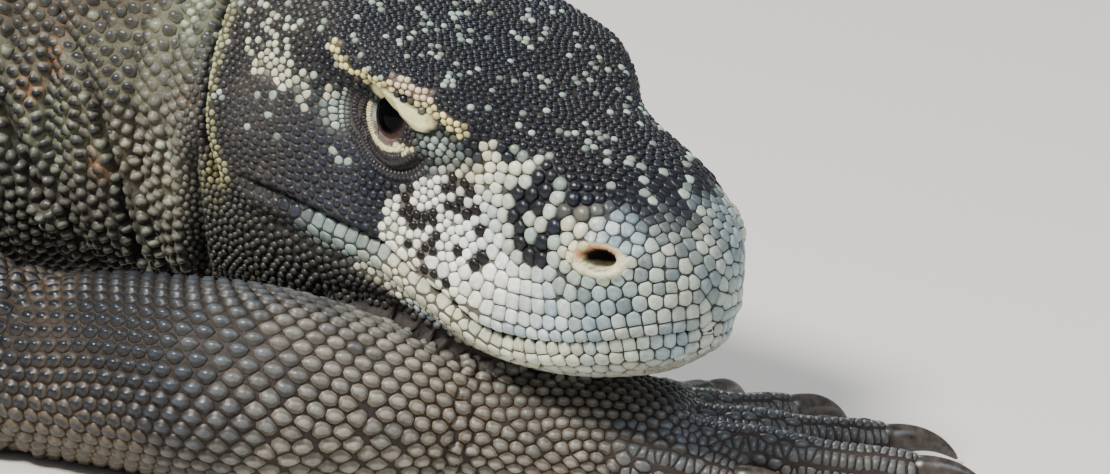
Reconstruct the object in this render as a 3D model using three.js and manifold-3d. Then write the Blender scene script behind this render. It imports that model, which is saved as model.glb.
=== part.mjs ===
// A komodo dragon lying at rest, life size, as a still museum model.
// Millimetres, +Z up, +X towards the head. The floor is z = 0, and the origin is under the belly.
// The trunk lies along X; the neck bends to the animal's right, and the chin rests over the back of
// its right hand. Every solid is a loft of rings: the spine runs from the tail's tip to the nape, the
// limbs from the trunk to the toes, and the head has rings of its own through named outline points.

import * as THREE from "three";
import { mergeVertices } from "three/addons/utils/BufferGeometryUtils.js";
import Module from "manifold-3d";

const wasm = await Module();
wasm.setup();

// ---- driving dimensions ----
const GAP = 0.3; // between two touching solids
const SPINE_SIDES = 28; // as many as a head ring has
const LIMB_SIDES = 12;
const DIGIT_SIDES = 8;
const CLAW_SIDES = 6;
const BOTTOM_SQUARE = 2.7; // superellipse exponents: the belly is flatter than the back
const TOP_SQUARE = 2.15;
const LIMB_SQUARE = 2.1;
const EYE_RADIUS = 11.5;

const HEAD_ORIGIN = new THREE.Vector3(638, -80, 107); // between the eyes
const HEAD_YAW = THREE.MathUtils.degToRad(-27); // turned to the animal's right
const HEAD_PITCH = THREE.MathUtils.degToRad(12.5); // nose down

// The spine, from the tail's tip to the neck. down is a little more than z where the part lies on the
// floor, and the floor cuts it to a small flat.
const SPINE = [
  { x: -1492, y: -64, z: 4, half: 3, up: 4, down: 4.6 },
  { x: -1420, y: 6, z: 8, half: 6.5, up: 8, down: 9 },
  { x: -1320, y: 78, z: 12, half: 10, up: 13, down: 13 },
  { x: -1190, y: 128, z: 18, half: 15, up: 20, down: 19 },
  { x: -1040, y: 140, z: 25, half: 20, up: 28, down: 26 },
  { x: -880, y: 112, z: 32, half: 26, up: 36, down: 33.5 },
  { x: -720, y: 62, z: 42, half: 34, up: 44, down: 43.5 },
  { x: -560, y: 20, z: 54, half: 46, up: 54, down: 55.5 },
  { x: -430, y: 4, z: 70, half: 64, up: 62, down: 72 },
  { x: -320, y: 0, z: 84, half: 88, up: 72, down: 86 },
  { x: -180, y: 0, z: 92, half: 122, up: 82, down: 94 },
  { x: -20, y: 0, z: 94, half: 138, up: 88, down: 96 },
  { x: 130, y: 0, z: 94, half: 128, up: 88, down: 96 },
  { x: 250, y: 0, z: 94, half: 108, up: 84, down: 96 },
  { x: 340, y: -2, z: 98, half: 84, up: 76, down: 90 },
  { x: 415, y: -4, z: 101, half: 72, up: 68, down: 95 },
  { x: 485, y: -12, z: 104, half: 62, up: 62, down: 88 },
];
// Where the spine is parted, as places in SPINE counted from the tail's tip.
const SPINE_PARTS = [
  ["tail_5", 0, 3],
  ["tail_4", 3, 4.5],
  ["tail_3", 4.5, 6],
  ["tail_2", 6, 7.5],
  ["tail_1", 7.5, 9],
  ["trunk_rear", 9, 11.5],
  ["trunk_front", 11.5, 14],
  ["neck", 14, 17],
];
const RINGS_PER_STATION = 1.6;

// The head's rings, from the nape to the snout. Each point is [half width, height] in the head's frame:
// crown is the midline on top, ridge the brow and then the edge of the snout, lip the mouth line's edge.
const HEAD_RINGS = [
  { x: -95, crown: 32, slope: [26, 27], ridge: [44, 12], cheek: [55, -16], lip: [55, -36], jaw: [47, -76], chin: -97 },
  { x: -76, crown: 32, slope: [25, 29], ridge: [43, 17], cheek: [56, -13], lip: [55.5, -34], jaw: [46, -72], chin: -90 },
  { x: -56, crown: 31, slope: [24, 29], ridge: [42, 20], cheek: [55, -10], lip: [54, -32], jaw: [44.5, -69], chin: -83 },
  { x: -34, crown: 30, slope: [23, 29], ridge: [42, 22], cheek: [50, -10], lip: [49, -32], jaw: [42, -65], chin: -76 },
  { x: -16, crown: 28, slope: [24, 27.5], ridge: [43, 22], cheek: [45, -12], lip: [45.5, -32.8], jaw: [39, -61], chin: -70 },
  { x: 2, crown: 25, slope: [25, 25], ridge: [43.5, 20], cheek: [41, -13], lip: [42.5, -33.4], jaw: [36, -58.5], chin: -64.5 },
  { x: 18, crown: 21, slope: [22, 21.5], ridge: [39, 16.5], cheek: [37, -14], lip: [40.5, -37.6], jaw: [33.5, -56.5], chin: -61 },
  { x: 38, crown: 17, slope: [17, 16], ridge: [28.5, 10], cheek: [33.5, -14], lip: [37.5, -42.6], jaw: [31, -55.5], chin: -59.5 },
  { x: 56, crown: 13, slope: [15, 12], ridge: [27, 6], cheek: [33, -14], lip: [34.5, -42.8], jaw: [28.5, -53.5], chin: -57.5 },
  { x: 72, crown: 9, slope: [15, 8], ridge: [26.5, 1], cheek: [32, -16], lip: [31.5, -38.5], jaw: [25, -49.5], chin: -54 },
  { x: 86, crown: 1, slope: [12, 0], ridge: [22, -6], cheek: [26, -19], lip: [25.5, -33], jaw: [19.5, -43.5], chin: -48 },
  { x: 95, crown: -7, slope: [8, -8], ridge: [14.5, -12], cheek: [17.5, -21], lip: [17, -29], jaw: [12.5, -37.5], chin: -40.5 },
  { x: 100, crown: -17, slope: [2.5, -17.5], ridge: [5, -19], cheek: [6, -24], lip: [5.6, -27], jaw: [4, -31], chin: -32.5 },
];
const EYE_CENTRE = { x: -3, y: 29, z: 4 };
const EYE_LOOK = new THREE.Vector3(0.22, 0.95, 0.12).normalize();

// A limb's keys are [x, y, z, half width, half height]. Side is -1 for the animal's right.
const LIMBS = [
  {
    names: ["upper_arm_right", "forearm_right", "hand_right"],
    digit: "finger_right",
    keys: [
      [326, -56, 70, 50, 50],
      [362, -94, 66, 44, 46],
      [424, -116, 46, 35, 38],
      [490, -112, 28, 28.5, 28.5],
      [535, -120, 29, 30, 29.5],
      [578, -128, 30, 30.5, 30.5],
      [612, -120, 26, 26, 26.5],
      [642, -107, 20, 21, 20.5],
      [676, -96, 17, 25, 18],
      [702, -88, 14, 27, 14.5],
    ],
    parts: [0, 3.2, 7, 9],
    fan: 14,
    digits: [
      { angle: 42, length: 34, at: 20 },
      { angle: 20, length: 46, at: 12 },
      { angle: -4, length: 63, at: 2 },
      { angle: -19, length: 72, at: -9 },
      { angle: -27, length: 22, at: -19 },
    ],
  },
  {
    names: ["upper_arm_left", "forearm_left", "hand_left"],
    digit: "finger_left",
    keys: [
      [310, 60, 72, 50, 50],
      [300, 122, 72, 46, 46],
      [286, 176, 64, 37, 38],
      [290, 226, 48, 30, 30],
      [336, 250, 38, 31, 30],
      [382, 262, 30, 29, 28],
      [422, 266, 23, 24, 22.5],
      [452, 266, 19, 21, 19.5],
      [486, 262, 16, 25, 17],
      [512, 258, 13, 27, 14],
    ],
    parts: [0, 3.2, 7, 9],
    fan: -8,
    digits: [
      { angle: -42, length: 34, at: -20 },
      { angle: -20, length: 48, at: -11 },
      { angle: -2, length: 62, at: 0 },
      { angle: 15, length: 66, at: 10 },
      { angle: 42, length: 30, at: 19 },
    ],
  },
  {
    names: ["thigh_right", "shin_right", "foot_right"],
    digit: "toe_right",
    keys: [
      [-312, -36, 70, 58, 54],
      [-276, -112, 68, 57, 50],
      [-238, -178, 60, 45, 43],
      [-228, -236, 46, 33, 34],
      [-262, -280, 38, 34, 34],
      [-314, -296, 30.5, 31, 31],
      [-358, -310, 23.5, 24, 24],
      [-384, -338, 18, 21, 18.5],
      [-388, -374, 16, 25, 16.5],
      [-378, -402, 13, 27, 14],
    ],
    parts: [0, 3, 6.6, 9],
    fan: 0,
    digits: [
      { angle: 42, length: 36, at: 18 },
      { angle: 20, length: 54, at: 10 },
      { angle: 4, length: 68, at: 1 },
      { angle: -12, length: 76, at: -9 },
      { angle: -56, length: 42, at: -19 },
    ],
  },
  {
    names: ["thigh_left", "shin_left", "foot_left"],
    digit: "toe_left",
    keys: [
      [-312, 36, 70, 58, 54],
      [-292, 114, 68, 57, 50],
      [-268, 180, 60, 45, 43],
      [-264, 240, 46, 33, 34],
      [-302, 280, 38, 34, 34],
      [-354, 290, 30.5, 31, 31],
      [-398, 302, 23.5, 24, 24],
      [-426, 330, 18, 21, 18.5],
      [-430, 366, 16, 25, 16.5],
      [-420, 394, 13, 27, 14],
    ],
    parts: [0, 3, 6.6, 9],
    fan: 0,
    digits: [
      { angle: -42, length: 36, at: -18 },
      { angle: -20, length: 54, at: -10 },
      { angle: -4, length: 68, at: -1 },
      { angle: 12, length: 76, at: 9 },
      { angle: 56, length: 42, at: 19 },
    ],
  },
];
const DIGIT_HALF = 8.8; // half width of a digit behind its claw
const CLAW_LENGTH = 25;
const CLAW_ROOT = 5;

const finish = (color, roughness) => new THREE.MeshStandardMaterial({ color, roughness, metalness: 0 });
const SKIN = finish(0x3c3a36, 0.7);
const FACE = finish(0x8f958b, 0.6);
const EYE = finish(0x120e0a, 0.08);
const CLAW = finish(0x1d1a18, 0.35);

// ---- rings and lofts ----
const UP = new THREE.Vector3(0, 0, 1);
const curve = (points, closed = false) => new THREE.CatmullRomCurve3(points, closed, "catmullrom", 0.5);
const power = (value, exponent) => Math.sign(value) * Math.abs(value) ** exponent;

// One ring of a tube: a superellipse across the way it runs, starting on its left and going up.
function ring(at, along, half, up, down, sides, square) {
  const left = new THREE.Vector3().crossVectors(UP, along).normalize();
  const above = new THREE.Vector3().crossVectors(along, left);
  return Array.from({ length: sides }, (_, k) => {
    const angle = (2 * Math.PI * k) / sides;
    const exponent = 2 / (Math.sin(angle) > 0 ? square[0] : square[1]);
    const height = power(Math.sin(angle), exponent) * (Math.sin(angle) > 0 ? up : down);
    return at
      .clone()
      .addScaledVector(left, half * power(Math.cos(angle), exponent))
      .addScaledVector(above, height);
  });
}

// A closed geometry through rings of the same number of points, with a fan on each end.
function loft(rings) {
  const sides = rings[0].length;
  const middle = (points) =>
    points.reduce((sum, p) => sum.add(p), new THREE.Vector3()).divideScalar(points.length);
  const points = [...rings.flat(), middle(rings[0]), middle(rings.at(-1))];
  const index = [];
  for (let r = 0; r + 1 < rings.length; r++)
    for (let k = 0; k < sides; k++) {
      const a = r * sides + k;
      const b = r * sides + ((k + 1) % sides);
      index.push(a, b, a + sides, b, b + sides, a + sides);
    }
  const [first, last] = [points.length - 2, points.length - 1];
  const end = (rings.length - 1) * sides;
  for (let k = 0; k < sides; k++) {
    const next = (k + 1) % sides;
    index.push(first, next, k, last, end + k, end + next);
  }
  return new THREE.BufferGeometry().setFromPoints(points).setIndex(index);
}

// ---- solids ----
// A closed geometry as a manifold-3d solid, turned right side out where its loft ran the other way.
function solid(geometry) {
  const bare = geometry.clone();
  bare.deleteAttribute("normal");
  bare.deleteAttribute("uv");
  const merged = mergeVertices(bare, 1e-4);
  const vertProperties = new Float32Array(merged.attributes.position.array);
  const triVerts = new Uint32Array(merged.index.array);
  const made = new wasm.Manifold(new wasm.Mesh({ numProp: 3, vertProperties, triVerts }));
  if (made.volume() > 0) return made;
  for (let i = 0; i < triVerts.length; i += 3)
    [triVerts[i], triVerts[i + 1]] = [triVerts[i + 1], triVerts[i]];
  return new wasm.Manifold(new wasm.Mesh({ numProp: 3, vertProperties, triVerts }));
}

function mesh(name, made, material) {
  const { vertProperties, triVerts } = made.getMesh();
  const geometry = new THREE.BufferGeometry();
  geometry.setAttribute("position", new THREE.BufferAttribute(new Float32Array(vertProperties), 3));
  geometry.setIndex(new THREE.BufferAttribute(new Uint32Array(triVerts), 1));
  geometry.computeVertexNormals();
  const made3d = new THREE.Mesh(geometry, material);
  made3d.name = name;
  return made3d;
}

const ROOM = 4000;
const aboveFloor = solid(new THREE.BoxGeometry(ROOM, ROOM, ROOM).translate(0, 0, ROOM / 2));

const dragon = new THREE.Group();
const head = new THREE.Group();
head.position.copy(HEAD_ORIGIN);
head.rotation.set(0, HEAD_PITCH, HEAD_YAW, "ZYX");
head.updateMatrixWorld(true);
dragon.add(head);

// ---- head ----
// A head ring from its outline points, in the order that ring() uses: left side first, then up.
function headRing({ x, crown, slope, ridge, cheek, lip, jaw, chin }) {
  const left = [[0, crown], slope, ridge, cheek, lip, jaw, [jaw[0] * 0.52, chin + 1.2], [0, chin]];
  const right = left.slice(1, -1).map(([y, z]) => [-y, z]);
  const outline = [...left, ...right.reverse()].map(([y, z]) => new THREE.Vector3(x, y, z));
  const around = curve(outline, true).getPoints(SPINE_SIDES).slice(0, SPINE_SIDES);
  const quarter = SPINE_SIDES / 4;
  // The outline starts at the crown and goes down the left side; turn it to start on the left, going up.
  return Array.from(
    { length: SPINE_SIDES },
    (_, k) => around[(quarter - k + SPINE_SIDES) % SPINE_SIDES],
  );
}

// Everything in the head's frame above or below the mouth line, as a prism across the head.
function mouthSide(above) {
  const line = HEAD_RINGS.map(({ x, lip }) => new THREE.Vector2(x, lip[1] + (above ? GAP : -GAP)));
  const far = above ? 200 : -200;
  const outline = [
    new THREE.Vector2(-300, line[0].y),
    ...line,
    new THREE.Vector2(300, line.at(-1).y),
    new THREE.Vector2(300, far),
    new THREE.Vector2(-300, far),
  ];
  const prism = new THREE.ExtrudeGeometry(new THREE.Shape(outline), { depth: 400, bevelEnabled: false });
  return solid(prism.translate(0, 0, -200).rotateX(Math.PI / 2));
}

const wholeHead = solid(loft(HEAD_RINGS.map(headRing)));
let upperHead = wholeHead.intersect(mouthSide(true));
for (const side of [-1, 1]) {
  const centre = new THREE.Vector3(EYE_CENTRE.x, side * EYE_CENTRE.y, EYE_CENTRE.z);
  const look = EYE_LOOK.clone().multiply(new THREE.Vector3(1, side, 1));
  const ball = (radius, at) =>
    solid(new THREE.SphereGeometry(radius, 12, 8).translate(at.x, at.y, at.z));
  const mouthOfSocket = centre.clone().addScaledVector(look, EYE_RADIUS);
  upperHead = upperHead
    .subtract(ball(EYE_RADIUS + 2 * GAP, centre))
    .subtract(ball(EYE_RADIUS * 0.82, mouthOfSocket));
  head.add(mesh(side < 0 ? "eye_right" : "eye_left", ball(EYE_RADIUS, centre), EYE));
}
head.add(mesh("head", upperHead, FACE));
head.add(mesh("lower_jaw", wholeHead.intersect(mouthSide(false)), FACE));

// ---- neck, trunk and tail ----
const forward = new THREE.Vector3(1, 0, 0).applyEuler(head.rotation);
const nape = headRing(HEAD_RINGS[0]).map((p) => p.applyMatrix4(head.matrixWorld));
const napeCentre = new THREE.Vector3(HEAD_RINGS[0].x, 0, -18).applyMatrix4(head.matrixWorld);
const spineKeys = [...SPINE, { ...napeCentre, half: 55, up: 50, down: 79 }];
const spineLine = curve(spineKeys.map(({ x, y, z }) => new THREE.Vector3(x, y, z)));
const spineSize = curve(spineKeys.map(({ half, up, down }) => new THREE.Vector3(half, up, down)));

// The spine's ring at a place in SPINE. The last stretch turns into the head's own nape ring.
function spineRing(place, inflate = 0, shift = 0) {
  const t = place / SPINE.length;
  const size = spineSize.getPoint(t);
  const along = spineLine.getTangent(t);
  const toHead = THREE.MathUtils.smoothstep(place, SPINE.length - 2, SPINE.length);
  along.lerp(forward, toHead).normalize();
  const at = spineLine.getPoint(t).addScaledVector(along, shift);
  const [half, up, down] = [size.x + inflate, size.y + inflate, size.z + inflate];
  const made = ring(at, along, half, up, down, SPINE_SIDES, [TOP_SQUARE, BOTTOM_SQUARE]);
  const offset = at.clone().sub(napeCentre);
  return made.map((p, k) => p.lerp(nape[k].clone().add(offset), toHead));
}

function spinePart(from, to, inflate = 0) {
  const steps = Math.ceil((to - from) * RINGS_PER_STATION);
  const rings = Array.from({ length: steps + 1 }, (_, i) => {
    const shift = i === 0 ? GAP / 2 : i === steps ? -GAP / 2 : 0;
    return spineRing(from + ((to - from) * i) / steps, inflate, shift);
  });
  return solid(loft(rings)).intersect(aboveFloor);
}

for (const [name, from, to] of SPINE_PARTS)
  dragon.add(mesh(name, spinePart(from, to), SKIN));
const trunkCutter = spinePart(6, SPINE.length, GAP);

// ---- limbs ----
function limbRing(keys, place, inflate, shift) {
  const t = place / (keys.length - 1);
  const size = curve(keys.map(([, , , half, high]) => new THREE.Vector3(half, high, 0))).getPoint(t);
  const line = curve(keys.map(([x, y, z]) => new THREE.Vector3(x, y, z)));
  const along = line.getTangent(t);
  const at = line.getPoint(t).addScaledVector(along, shift);
  const [half, high] = [size.x + inflate, size.y + inflate];
  return ring(at, along, half, high, high, LIMB_SIDES, [LIMB_SQUARE, LIMB_SQUARE]);
}

function limbPart(keys, from, to, inflate = 0) {
  const steps = Math.ceil((to - from) * RINGS_PER_STATION);
  const rings = Array.from({ length: steps + 1 }, (_, i) => {
    const shift = i === 0 ? GAP / 2 : i === steps ? -GAP / 2 : 0;
    return limbRing(keys, from + ((to - from) * i) / steps, inflate, shift);
  });
  return solid(loft(rings));
}

// A digit runs from inside the palm over its knuckle to the root of its claw, just above the floor.
function digitRings(base, direction, length, half) {
  const stops = [
    { along: 0, z: base.z, grow: 1.1 },
    { along: 0.35, z: 13, grow: 1.12 },
    { along: 0.7, z: 10.5, grow: 0.96 },
    { along: 1, z: 8, grow: 0.84 },
  ];
  return stops.map(({ along, z, grow }) => {
    const at = base.clone().addScaledVector(direction, along * length).setZ(z);
    const tall = half * grow * (along < 0.5 ? 1 : 0.92);
    return ring(at, direction, half * grow, tall, tall, DIGIT_SIDES, [2.2, 2.4]);
  });
}

// A claw curves down from the digit's end to a blunt point just above the floor.
function clawRings(root, direction) {
  const steps = 4;
  return Array.from({ length: steps + 1 }, (_, i) => {
    const t = i / steps;
    const bend = THREE.MathUtils.degToRad(70 * t);
    const along = direction.clone().multiplyScalar(Math.cos(bend)).setZ(-Math.sin(bend));
    const at = root
      .clone()
      .addScaledVector(direction, CLAW_LENGTH * (t - 0.16 * t * t))
      .add(new THREE.Vector3(0, 0, 4.5 * t - 11 * t * t));
    const radius = CLAW_ROOT * (1 - t) ** 0.75 + 0.5;
    return ring(at, along, radius * 0.78, radius, radius, CLAW_SIDES, [2, 2]);
  });
}

for (const { names, digit, keys, parts, fan, digits } of LIMBS) {
  const [top, low, foot] = names;
  const lowest = limbPart(keys, parts[2], parts[3]);
  const upper = limbPart(keys, parts[0], parts[1]);
  const lower = limbPart(keys, parts[1], parts[2]).subtract(limbPart(keys, parts[0], parts[1], GAP));
  const lowerCutter = limbPart(keys, parts[1], parts[2], GAP);
  const line = curve(keys.map(([x, y, z]) => new THREE.Vector3(x, y, z)));
  const palmEnd = line.getPoint(1);
  const ahead = line.getTangent(1).setZ(0).normalize();
  const aside = new THREE.Vector3().crossVectors(UP, ahead);
  const main = ahead.clone().applyAxisAngle(UP, THREE.MathUtils.degToRad(fan));
  let palm = lowest;
  digits.forEach(({ angle, length, at }, i) => {
    const direction = main.clone().applyAxisAngle(UP, THREE.MathUtils.degToRad(angle));
    const base = palmEnd.clone().addScaledVector(aside, at).addScaledVector(ahead, -14 - Math.abs(at) / 4);
    const reach = length + 14;
    palm = palm.add(solid(loft(digitRings(base, direction, reach, DIGIT_HALF))));
    const root = base.clone().addScaledVector(direction, reach + GAP).setZ(8.5);
    const claw = solid(loft(clawRings(root, direction))).intersect(aboveFloor);
    dragon.add(mesh(`${digit}_claw_${i + 1}`, claw, CLAW));
  });
  dragon.add(mesh(top, upper.subtract(trunkCutter).intersect(aboveFloor), SKIN));
  dragon.add(mesh(low, lower.intersect(aboveFloor), SKIN));
  dragon.add(mesh(foot, palm.subtract(lowerCutter).intersect(aboveFloor), SKIN));
}

export default dragon;
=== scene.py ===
"""A komodo dragon at rest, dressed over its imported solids: one skin, its scales as solid domes, and
wet eyes and horn claws as pieces of their own. Lengths are in millimetres until a mesh is made."""

import itertools
import math

import bpy
import numpy as np
from mathutils import Euler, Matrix, Vector, bvhtree, kdtree


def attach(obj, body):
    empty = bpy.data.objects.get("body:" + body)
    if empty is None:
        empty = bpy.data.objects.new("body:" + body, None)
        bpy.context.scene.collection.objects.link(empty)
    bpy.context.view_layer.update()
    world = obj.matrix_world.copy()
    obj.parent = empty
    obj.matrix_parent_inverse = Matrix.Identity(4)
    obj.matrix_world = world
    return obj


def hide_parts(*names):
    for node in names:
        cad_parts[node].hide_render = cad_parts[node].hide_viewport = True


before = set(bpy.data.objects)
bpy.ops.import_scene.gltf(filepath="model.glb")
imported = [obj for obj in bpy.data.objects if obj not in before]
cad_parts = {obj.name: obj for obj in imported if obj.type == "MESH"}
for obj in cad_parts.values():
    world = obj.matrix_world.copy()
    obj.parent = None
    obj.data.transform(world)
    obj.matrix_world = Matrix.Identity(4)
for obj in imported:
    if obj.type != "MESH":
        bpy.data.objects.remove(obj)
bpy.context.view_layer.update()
MM = 0.001
rng = np.random.default_rng(41)

# ---- the animal's lines, as the solids have them ----
HEAD_ORIGIN = np.array([638.0, -80.0, 107.0])
HEAD_YAW = math.radians(-27)
HEAD_PITCH = math.radians(12.5)
# x, y, z, half width, height above, height below, from the tail's tip to the neck
SPINE = np.array([
    [-1492, -64, 4, 3, 4, 4.6], [-1420, 6, 8, 6.5, 8, 9], [-1320, 78, 12, 10, 13, 13],
    [-1190, 128, 18, 15, 20, 19], [-1040, 140, 25, 20, 28, 26], [-880, 112, 32, 26, 36, 33.5],
    [-720, 62, 42, 34, 44, 43.5], [-560, 20, 54, 46, 54, 55.5], [-430, 4, 70, 64, 62, 72],
    [-320, 0, 84, 88, 72, 86], [-180, 0, 92, 122, 82, 94], [-20, 0, 94, 138, 88, 96],
    [130, 0, 94, 128, 88, 96], [250, 0, 94, 108, 84, 96], [340, -2, 98, 84, 76, 90],
    [415, -4, 101, 72, 68, 95], [485, -12, 104, 62, 62, 88],
])
NAPE_SIZE = [55, 50, 79]
# x, crown, then [half width, height] of slope, ridge, cheek, lip and jaw, then chin, in the head's frame
HEAD_RINGS = [
    [-95, 32, [26, 27], [44, 12], [55, -16], [55, -36], [47, -76], -97],
    [-76, 32, [25, 29], [43, 17], [56, -13], [55.5, -34], [46, -72], -90],
    [-56, 31, [24, 29], [42, 20], [55, -10], [54, -32], [44.5, -69], -83],
    [-34, 30, [23, 29], [42, 22], [50, -10], [49, -32], [42, -65], -76],
    [-16, 28, [24, 27.5], [43, 22], [45, -12], [45.5, -32.8], [39, -61], -70],
    [2, 25, [25, 25], [43.5, 20], [41, -13], [42.5, -33.4], [36, -58.5], -64.5],
    [18, 21, [22, 21.5], [39, 16.5], [37, -14], [40.5, -37.6], [33.5, -56.5], -61],
    [38, 17, [17, 16], [28.5, 10], [33.5, -14], [37.5, -42.6], [31, -55.5], -59.5],
    [56, 13, [15, 12], [27, 6], [33, -14], [34.5, -42.8], [28.5, -53.5], -57.5],
    [72, 9, [15, 8], [26.5, 1], [32, -16], [31.5, -38.5], [25, -49.5], -54],
    [86, 1, [12, 0], [22, -6], [26, -19], [25.5, -33], [19.5, -43.5], -48],
    [95, -7, [8, -8], [14.5, -12], [17.5, -21], [17, -29], [12.5, -37.5], -40.5],
    [100, -17, [2.5, -17.5], [5, -19], [6, -24], [5.6, -27], [4, -31], -32.5],
]
EYE_CENTRE = np.array([-3.0, 29.0, 4.0])
EYE_RADIUS = 11.5
EYE_LOOK = np.array([-0.06, 0.97, 0.235])
# The limbs, from the shoulder or hip to the palm or sole. Keys are x, y, z, half width, half height; digits
# are angle from the limb's end (turned by its fan), length and place across.
LIMBS = [
    {
        "digit": "finger_right", "fan": 14,
        "keys": [[326, -56, 70, 50, 50], [362, -94, 66, 44, 46], [424, -116, 46, 35, 38],
                 [490, -112, 28, 28.5, 28.5], [535, -120, 29, 30, 29.5], [578, -128, 30, 30.5, 30.5],
                 [612, -120, 26, 26, 26.5], [642, -107, 20, 21, 20.5], [676, -96, 17, 25, 18],
                 [702, -88, 14, 27, 14.5]],
        "digits": [[42, 34, 20], [20, 46, 12], [-4, 63, 2], [-19, 72, -9], [-27, 22, -19]],
    },
    {
        "digit": "finger_left", "fan": -8,
        "keys": [[310, 60, 72, 50, 50], [300, 122, 72, 46, 46], [286, 176, 64, 37, 38],
                 [290, 226, 48, 30, 30], [336, 250, 38, 31, 30], [382, 262, 30, 29, 28],
                 [422, 266, 23, 24, 22.5], [452, 266, 19, 21, 19.5], [486, 262, 16, 25, 17],
                 [512, 258, 13, 27, 14]],
        "digits": [[-42, 34, -20], [-20, 48, -11], [-2, 62, 0], [15, 66, 10], [42, 30, 19]],
    },
    {
        "digit": "toe_right", "fan": 0,
        "keys": [[-312, -36, 70, 58, 54], [-276, -112, 68, 57, 50], [-238, -178, 60, 45, 43],
                 [-228, -236, 46, 33, 34], [-262, -280, 38, 34, 34], [-314, -296, 30.5, 31, 31],
                 [-358, -310, 23.5, 24, 24], [-384, -338, 18, 21, 18.5], [-388, -374, 16, 25, 16.5],
                 [-378, -402, 13, 27, 14]],
        "digits": [[42, 36, 18], [20, 54, 10], [4, 68, 1], [-12, 76, -9], [-56, 42, -19]],
    },
    {
        "digit": "toe_left", "fan": 0,
        "keys": [[-312, 36, 70, 58, 54], [-292, 114, 68, 57, 50], [-268, 180, 60, 45, 43],
                 [-264, 240, 46, 33, 34], [-302, 280, 38, 34, 34], [-354, 290, 30.5, 31, 31],
                 [-398, 302, 23.5, 24, 24], [-426, 330, 18, 21, 18.5], [-430, 366, 16, 25, 16.5],
                 [-420, 394, 13, 27, 14]],
        "digits": [[-42, 36, -18], [-20, 54, -10], [-4, 68, -1], [12, 76, 9], [56, 42, 19]],
    },
]
DIGIT_HALF = 8.8
DIGIT_INSET = 14
# Rings along the spine, the head, a limb and a digit. The body is loft 0, then come the limbs and the digits.
SPINE_RINGS, HEAD_LOFT_RINGS, LIMB_RINGS, DIGIT_RINGS = 420, 121, 150, 34
THROAT_RING = 330
FIRST_DIGIT = 5
RIGHT_ARM = (1, 5, 6, 7, 8, 9)
CLAW_LENGTH = 25
CLAW_ROOT = 5
CLAW_HEIGHT = 8.5
CLAW_BEND = 70
CLAW_SUNK = 3.5
GAP = 0.3
UP = np.array([0.0, 0.0, 1.0])
# Where the tail starts, in the world, and where the head's scales end, in the head's frame.
TAIL_X = -300
NAPE_X = -74.0


# ---- curves, noise and masks ----
def spline(keys, place):
    """Catmull-Rom points through rows of keys, at places counted in keys, and their slopes."""
    keys = np.asarray(keys, float)
    place = np.atleast_1d(place).astype(float)
    i = np.clip(np.floor(place).astype(int), 0, len(keys) - 2)
    t = (place - i)[:, None]
    keys = np.vstack([2 * keys[0] - keys[1], keys, 2 * keys[-1] - keys[-2]])
    a, b, c, d = keys[i], keys[i + 1], keys[i + 2], keys[i + 3]
    square, cube = 2 * a - 5 * b + 4 * c - d, 3 * b - a - 3 * c + d
    at = b + 0.5 * ((c - a) * t + square * t**2 + cube * t**3)
    return at, 0.5 * ((c - a) + 2 * square * t + 3 * cube * t**2)


def above_floor(points, height):
    return np.maximum(points, [-np.inf, -np.inf, height])


def unit(v):
    return v / np.maximum(np.linalg.norm(v, axis=-1, keepdims=True), 1e-9)


def square_to(vectors, normal):
    """What is left of vectors once the part along their normals is taken away."""
    return vectors - normal * (vectors * normal).sum(axis=1, keepdims=True)


def running(steps):
    """The running total of steps, from 0."""
    return np.concatenate([[0], np.cumsum(steps)])


def lengths_along(line):
    return running(np.linalg.norm(np.diff(line, axis=0), axis=1))


def nearest(values, target):
    return int(np.argmin(np.abs(values - target)))


def step(low, high, value):
    t = np.clip((value - low) / (high - low), 0, 1)
    return t * t * (3 - 2 * t)


def bump(value, middle, width):
    return np.exp(-(((value - middle) / width) ** 2))


def mix(a, b, t):
    return a + (b - a) * t


def laid_over(value, *layers):
    """Mixes each layer, a value and how much of it, over those before it."""
    for new, amount in layers:
        value = mix(value, new, amount)
    return value


def noise(points, size, seed=0):
    """Smooth noise in -1..1 whose cells are about size across."""
    q = points / size
    base = np.floor(q).astype(np.int64)
    f = q - base
    f = f * f * (3 - 2 * f)
    total = np.zeros(len(points))
    for corner in itertools.product((0, 1), repeat=3):
        c = base + np.array(corner)
        h = (c[:, 0] * 73856093) ^ (c[:, 1] * 19349663) ^ (c[:, 2] * 83492791) ^ ((seed + 1) * 40503)
        h = ((h ^ (h >> 13)) * 1274126177) & 0xFFFFFFFF
        weight = np.prod(np.where(corner, f, 1 - f), axis=1)
        total += weight * (((h ^ (h >> 16)) & 0xFFFF) / 32767.5 - 1)
    return total


def rotation(axis, angle):
    c, s = math.cos(angle), math.sin(angle)
    if axis == "y":
        return np.array([[c, 0, s], [0, 1, 0], [-s, 0, c]])
    return np.array([[c, -s, 0], [s, c, 0], [0, 0, 1]])


HEAD_TURN = rotation("z", HEAD_YAW) @ rotation("y", HEAD_PITCH)
HEAD_AHEAD = HEAD_TURN @ np.array([1.0, 0, 0])


def to_head(points):
    return (points - HEAD_ORIGIN) @ HEAD_TURN


def from_head(points):
    return points @ HEAD_TURN.T + HEAD_ORIGIN


# ---- lofts ----
def rings(at, along, half, up, down, sides, square):
    """Superellipse rings across the way they run, each starting on its left and going up."""
    along = unit(along)
    left = unit(np.cross([0, 0, 1], along))
    above = np.cross(along, left)
    angle = 2 * np.pi * np.arange(sides) / sides
    power = np.where(np.sin(angle) > 0, 2 / square[0], 2 / square[1])
    width = np.sign(np.cos(angle)) * np.abs(np.cos(angle)) ** power
    height = np.sign(np.sin(angle)) * np.abs(np.sin(angle)) ** power
    tall = np.where(np.sin(angle) > 0, up[:, None], down[:, None]) * height
    return (at[:, None] + left[:, None] * (half[:, None] * width)[..., None]
            + above[:, None] * tall[..., None])


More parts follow.
